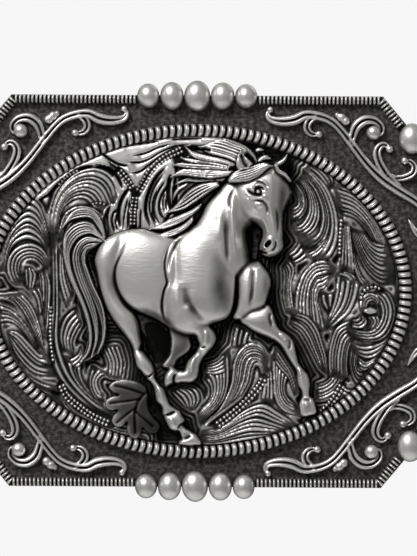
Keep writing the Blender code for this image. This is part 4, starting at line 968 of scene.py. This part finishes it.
def silver(name, dark, middle, bright, rough, worn_and_shaded=True, grain=900.0, bump=0.25, gain=0.9, cloud=260.0,
           shine=0.85, rear=None):
    """Antiqued plate: dark oxide in the cuts, brushed metal on what stands proud, mottling and fine pits. Its
    colour follows the wear attribute where there is one, which also carries painted shade and painted light.
    """
    mat, nodes, link = shaded(bpy.data.materials, name)
    shader = nodes["Principled BSDF"]

    def add(kind, source=None, **values):
        """A node with its values, its first socket fed from the source."""
        node = nodes.new("ShaderNode" + kind)
        setting(node, **values)
        if source:
            link(source, node.inputs[0])
        return node

    def ramp(low, first, high, last):
        node = add("ValToRGB", blend.outputs["Value"])
        stops = node.color_ramp.elements
        stops[0].position, stops[0].color = low, (*first, 1)
        stops[1].position, stops[1].color = high, (*last, 1)
        return node

    setting(shader, Specular_IOR_Level=0.25, Specular_Tint=(0.3, 0.3, 0.29, 1))
    place = add("TexCoord").outputs["Object"]
    mottle = add("TexNoise", place, Scale=cloud, Detail=5.0)
    brushed = add("Mapping", place, Scale=(0.5, 1.0, 1.7))
    fine = add("TexNoise", brushed.outputs["Vector"], Scale=grain, Detail=3.0)
    blend = add("Math", mottle.outputs["Fac"])
    blend.operation = "MULTIPLY_ADD"
    blend.inputs[1].default_value = 0.4 if worn_and_shaded else gain
    if not worn_and_shaded:
        blend.inputs[2].default_value = 0.47 - 0.5 * gain
    else:
        # The attribute is oxide and wear, and on the horse, panel and leaf also painted shade and painted
        # light.
        level = add("Attribute")
        level.attribute_name = "worn_and_shaded"
        shift = add("Math", level.outputs["Fac"])
        shift.operation = "SUBTRACT"
        shift.inputs[1].default_value = 0.2
        link(shift.outputs["Value"], blend.inputs[2])
    tone = ramp(0.05, dark, 0.85, bright)
    tone.color_ramp.elements.new(0.42).color = (*middle, 1)
    colour = tone.outputs["Color"]
    if rear:
        split = add("SeparateXYZ", place)
        low, high = (REAR_Y - 0.4) * MM, (REAR_Y - 0.15) * MM
        behind = add("MapRange", split.outputs["Y"], From_Min=low, From_Max=high)
        both = nodes.new("ShaderNodeMix")
        both.data_type = "RGBA"
        link(behind.outputs["Result"], both.inputs["Factor"])
        link(colour, both.inputs[6])
        link(ramp(0.2, rear[0], 0.75, rear[1]).outputs["Color"], both.inputs[7])
        colour = both.outputs[2]
    link(colour, shader.inputs["Base Color"])
    dull = add("MapRange", blend.outputs["Value"], To_Min=rough + 0.22, To_Max=rough - 0.04)
    link(dull.outputs["Result"], shader.inputs["Roughness"])
    metal = add("MapRange", blend.outputs["Value"], From_Min=0.05, From_Max=0.5, To_Min=0.6, To_Max=shine)
    link(metal.outputs["Result"], shader.inputs["Metallic"])
    pits = add("Bump", Strength=bump, Distance=0.00012)
    link(fine.outputs["Fac"], pits.inputs["Height"])
    link(pits.outputs["Normal"], shader.inputs["Normal"])
    return mat


def dress(obj, mat, slot, *replaced):
    """Gives a piece its only material and hides the CAD nodes that it stands for. The slot is not used."""
    obj.data.materials.clear()
    obj.data.materials.append(mat)
    if replaced:
        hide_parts(*replaced)


OXIDE = (0.006, 0.006, 0.005)
POLISH = (0.97, 0.96, 0.92)
SILVER = silver("antique_silver", OXIDE, (0.185, 0.181, 0.167), POLISH, 0.45, grain=1500.0, bump=0.3)
WIRE = silver("burnished_silver", OXIDE, (0.19, 0.186, 0.172), POLISH, 0.42, grain=1300.0, bump=0.2,
              shine=0.75)
CHASED = silver("oxidised_silver", (0.005, 0.005, 0.004), (0.125, 0.122, 0.111), (0.92, 0.91, 0.87), 0.42,
                shine=0.72)
GROUND = silver("oxidised_ground", OXIDE, (0.06, 0.058, 0.053), (0.42, 0.412, 0.386), 0.5, worn_and_shaded=False,
                grain=1500.0, bump=0.9, gain=0.65, cloud=1500.0,
                rear=((0.36, 0.356, 0.34), (0.6, 0.595, 0.575)))
STEEL = silver("plated_steel", (0.3, 0.298, 0.288), (0.5, 0.496, 0.482), (0.62, 0.615, 0.6), 0.33, worn_and_shaded=False,
               grain=700.0, bump=0.12)

# ---------------------------------------------------------------- pieces

CORNERS = {"top_right": (1, 1), "top_left": (-1, 1), "bottom_left": (-1, -1), "bottom_right": (1, -1)}
# A row of five berries: place along it, half length along it, half width across it.
BERRY_ROW = ((-8.1, 1.84, 2.06), (-4.2, 1.95, 2.32), (0.0, 2.16, 2.6), (4.2, 1.95, 2.32), (8.1, 1.84, 2.06))
ROW_X, ROW_Z = 40.25, 32.3
# Painted shade (amount below zero) and painted light (above zero) on the horse, in soft spots: x, z, half
# width, half height, turn in degrees, amount. These and the weights of wear, painted shade and painted light
# below were set.
PAINTED_SHADE_AND_LIGHT = (
    (3.9, 1.4, 1.5, 4.4, 8, -0.3), (5.6, -1.5, 1.0, 2.6, 0, -0.1), (-0.9, -2.4, 0.8, 2.6, 22, -0.26),
    (8.1, 9.2, 1.3, 3.6, 0, -0.34), (14.0, 14.0, 1.1, 4.6, 0, -0.24), (-14.4, 1.0, 0.9, 4.0, 10, -0.24),
    (-7.0, -3.8, 4.0, 1.2, -25, -0.16), (11.6, 1.2, 0.7, 2.6, 5, -0.26), (4.3, 11.5, 1.6, 4.0, 20, -0.16),
    (-12.0, -3.2, 0.8, 3.5, 25, -0.15), (1.2, 9.6, 0.8, 2.6, -35, -0.12), (-1.8, 4.6, 2.0, 2.2, 0, 0.2),
    (-3.0, -0.6, 0.6, 2.4, -5, 0.24), (-9.0, 6.4, 3.6, 1.8, 0, 0.22), (9.2, 2.2, 0.55, 2.2, 0, 0.24),
    (10.2, -3.4, 1.6, 0.8, 20, 0.14), (11.2, 11.6, 0.6, 2.4, 10, 0.16), (6.0, 6.0, 0.6, 3.2, -5, 0.14),
)


def build_horse():
    """The horse. Gives its grid and the cells that it covers."""
    grid = Grid(-23.5, 21.0, -26.2, 26.4, HORSE_CELL)
    H, hair, oxide = horse_field(grid, RNG)
    solid = H > 0.0
    H = blur(np.maximum(H, -0.9), 0.6)
    keep = blur(solid.astype(float), 1.5) > 0.02
    flat = np.maximum(H, 0)
    spread = flat - blur(flat, 7)
    # Painted light: lighter towards the top and the left, where the key lamp shines from, held back over the
    # neck and head.
    painted_top_left_light = np.clip(0.018 * (grid.Z - 2) - 0.008 * (grid.X + 2), -0.2, 0.12)
    painted_top_left_light -= 0.1 * smooth_step(7, 12, grid.Z)
    wear_and_shade = 0.45 + painted_top_left_light + 0.45 * spread + 1.8 * (flat - blur(flat, 2.5)) + 0.14 * np.minimum(H, 3)
    wear_and_shade = np.clip(wear_and_shade, 0.02, 1.0)
    # Painted shade and painted light, spot by spot.
    for *ellipse, amount in PAINTED_SHADE_AND_LIGHT:
        u, v = turned(grid, *ellipse)
        wear_and_shade = wear_and_shade + 1.45 * amount * np.exp(-(u * u + v * v))
    wear_and_shade = np.clip(wear_and_shade, 0.05, 1.0)
    strand = flat - blur(flat, 1.8)
    wear_and_shade = np.where(hair, np.clip(0.12 + 6.2 * strand + 0.17 * H, 0.02, 1.0), wear_and_shade * (1 - 0.8 * oxide))
    wear_and_shade *= smooth_step(-0.1, 0.9, H) * 0.85 + 0.15
    obj = skin("running_horse", grid, PANEL_TOP - 0.1 + H, keep, blur(wear_and_shade, 0.6))
    dress(obj, SILVER, "antique_silver", "horse_figure")
    return grid, solid


def build_panel(horse_grid, horse_mask):
    """The chased oval, sunk in a halo round the horse and darkened there by oxide and a painted shadow of the
    horse. Its edge hides under the ring."""
    grid = Grid(-34.4, 34.4, -26.4, 26.4, PANEL_CELL)
    cut, under_mane = engraving(grid, RNG)
    cut = blur(cut, 0.4)
    soft = blur(blur(horse_mask.astype(float), 9), 6)
    # The halo is read 0.5 mm to the left of and 0.4 mm above each cell, so it reaches further to the lower
    # right, the side away from the key lamp.
    h = horse_grid
    i = np.clip(np.rint((grid.X - 0.5 - h.x0) / h.step).astype(int), 0, h.nx - 1)
    j = np.clip(np.rint((grid.Z + 0.4 - h.z0) / h.step).astype(int), 0, h.nz - 1)
    in_box = (grid.X > h.x0) & (grid.X < h.xs[-1]) & (grid.Z > h.z0) & (grid.Z < h.zs[-1])
    halo = np.where(in_box, soft[j, i], 0.0) * (1 - blur(under_mane.astype(float), 1.5))
    rim = 1 - np.sqrt((grid.X / (PANEL_A + 0.35)) ** 2 + (grid.Z / (PANEL_B + 0.35)) ** 2)
    fall = smooth_step(0.0, 0.02, rim)
    height = PANEL_TOP - 0.75 + 0.76 * bevelled(cut) - 0.3 * smooth_step(0.03, 0.5, halo) - 0.5 * (1 - fall)
    # Darker where the panel drops under the ring: oxide in that recess, and painted shade under the ring.
    wear_and_shade = (0.02 + 0.2 * cut + 0.84 * smooth_step(0.36, 0.9, cut)) * (0.25 + 0.75 * fall)
    # Painted shadow of the horse in the halo, over the oxide of the sunk ground round it.
    wear_and_shade = wear_and_shade * (1 - 0.5 * smooth_step(0.04, 0.5, halo))
    edge_a, edge_b = 34.3, 26.25
    keep = (grid.X / edge_a) ** 2 + (grid.Z / edge_b) ** 2 < 1
    dress(skin("chased_panel", grid, height, keep, wear_and_shade), CHASED, "oxidised_silver", "centre_panel")


def build_leaf():
    grid = Grid(-16.0, -5.0, -25.4, -14.2, CORNER_CELL)
    leaf, keep = relief(leaf_field(grid), -0.5, 0.7)
    wear_and_shade = np.clip(0.16 + 1.3 * (leaf - blur(np.maximum(leaf, 0), 4)) + 0.2 * leaf, 0.02, 0.9)
    # Painted shadow: the leaf darkens towards its right, beside the horse's hind leg.
    wear_and_shade *= 0.85 - 0.5 * smooth_step(-11.0, -6.5, grid.X)
    obj = skin("oak_leaf_relief", grid, PANEL_TOP - 0.3 + leaf, keep, wear_and_shade)
    dress(obj, CHASED, "oxidised_silver", "oak_leaf")


def build_corners():
    grid = Grid(10.8, 39.2, 8.6, 31.2, CORNER_CELL)
    scroll, keep = relief(scroll_field(grid), -0.6, 0.7)
    wear_and_shade = np.clip(0.02 + 2.2 * (scroll - blur(np.maximum(scroll, 0), 3)) + 0.46 * scroll, 0.02, 0.97)
    bud_grid = Grid(22.2, 26.2, 26.6, 30.4, CORNER_CELL)
    bud, bud_keep = relief(with_balls(np.full(bud_grid.shape, OUTSIDE), bud_grid, BUD, 0.3), -0.6, 0.8)
    bud_cav = np.clip(0.2 + 0.6 * bud, 0, 1)
    for label, signs in CORNERS.items():
        obj = skin("corner_scroll_" + label, grid, PLATE_TOP + scroll, keep, wear_and_shade, signs)
        dress(obj, SILVER, "antique_silver", "scroll_" + label)
        obj = skin("corner_bud_" + label, bud_grid, PLATE_TOP + bud, bud_keep, bud_cav, signs)
        dress(obj, SILVER, "antique_silver", "bud_" + label)
        obj = new_object("edge_wire_" + label, *edge_wires(signs))
        dress(obj, WIRE, "antique_silver", "rope_across_" + label, "rope_down_" + label)


def build_berries():
    rows = {
        "top": [(o, ROW_Z, a, c) for o, a, c in BERRY_ROW],
        "bottom": [(o, -ROW_Z, a, c) for o, a, c in BERRY_ROW],
        "left": [(-ROW_X, o, c, a) for o, a, c in BERRY_ROW],
        "right": [(ROW_X, o, c, a) for o, a, c in BERRY_ROW],
    }
    for side, places in rows.items():
        obj = new_object("berry_group_" + side, *joined_meshes([berry(*place, RNG) for place in places]))
        dress(obj, WIRE, "antique_silver", *["berry_%s_%d" % (side, k) for k in range(1, 6)])
    for label, (sx, sz) in CORNERS.items():
        obj = new_object("corner_berry_" + label, *berry(BERRY_X * sx, BERRY_Z * sz, 2.15, 2.6, RNG))
        dress(obj, WIRE, "antique_silver", "berry_" + label)


build_panel(*build_horse())
build_leaf()
dress(new_object("rope_ring", *oval_ring()), WIRE, "antique_silver", "oval_rope_ring")
build_corners()
build_berries()
for node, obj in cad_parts.items():
    if not obj.hide_render:
        dress(obj, GROUND if node == "base_plate" else STEEL, None)

# ---------------------------------------------------------------- camera, light and stage


def camera():
    """The photograph's view: straight on, from far off, the buckle a little below and left of the middle."""
    data = bpy.data.cameras.new("camera")
    obj = placed("camera", data)
    away = 0.5
    seen_width = 0.0920
    data.sensor_width = 36.0
    data.lens = 36.0 * away / seen_width
    obj.location = (0.00204, -0.0035 - away, 0.0022)
    obj.rotation_euler = (math.radians(90), math.radians(-0.35), 0)
    data.clip_start = 0.01
    bpy.context.scene.camera = obj


def lamp(name, spot, size, power):
    """An area lamp that looks at the buckle."""
    data = bpy.data.lights.new(name, "AREA")
    data.shape = "RECTANGLE"
    data.size, data.size_y = size
    data.energy = power
    obj = placed(name, data)
    obj.location = spot
    obj.rotation_euler = (-Vector(spot)).to_track_quat("-Z", "Y").to_euler()


def stage():
    """A plain pale floor, well below the buckle, which hangs in the air as in the photograph."""
    radius, level, sides = 0.8, -0.6, 64
    turn = np.arange(sides) * 2 * math.pi / sides
    mesh = bpy.data.meshes.new("floor")
    corners = [(radius * math.cos(t), radius * math.sin(t), level) for t in turn]
    mesh.from_pydata(corners, [], [tuple(range(sides))])
    mesh.update()
    obj = placed("floor", mesh)
    mat, nodes, _ = shaded(bpy.data.materials, "pale_paper")
    setting(nodes["Principled BSDF"], Base_Color=(0.9, 0.9, 0.9, 1), Roughness=0.9)
    obj.data.materials.append(mat)


def light():
    """Three soft lamps, in a dim room whose walls the camera sees as white paper."""
    bpy.context.scene.world, nodes, link = shaded(bpy.data.worlds, "studio")
    seen = nodes.new("ShaderNodeLightPath")
    mix = nodes.new("ShaderNodeMixShader")
    link(seen.outputs["Is Camera Ray"], mix.inputs["Fac"])
    room, paper = nodes["Background"], nodes.new("ShaderNodeBackground")
    for socket, air, strength in ((1, room, 0.13), (2, paper, 0.93)):
        setting(air, Color=(1, 1, 1, 1), Strength=strength)
        link(air.outputs["Background"], mix.inputs[socket])
    link(mix.outputs["Shader"], nodes["World Output"].inputs["Surface"])
    lamp("key", (-0.42, -0.58, 0.64), (0.36, 0.36), 6.8)
    lamp("fill", (0.6, -0.6, 0.3), (0.3, 0.6), 0.1)
    lamp("rear_light", (0.15, 0.9, 0.35), (1.4, 0.9), 11.0)


camera()
light()
stage()
bpy.context.scene.view_settings.view_transform = "Standard"
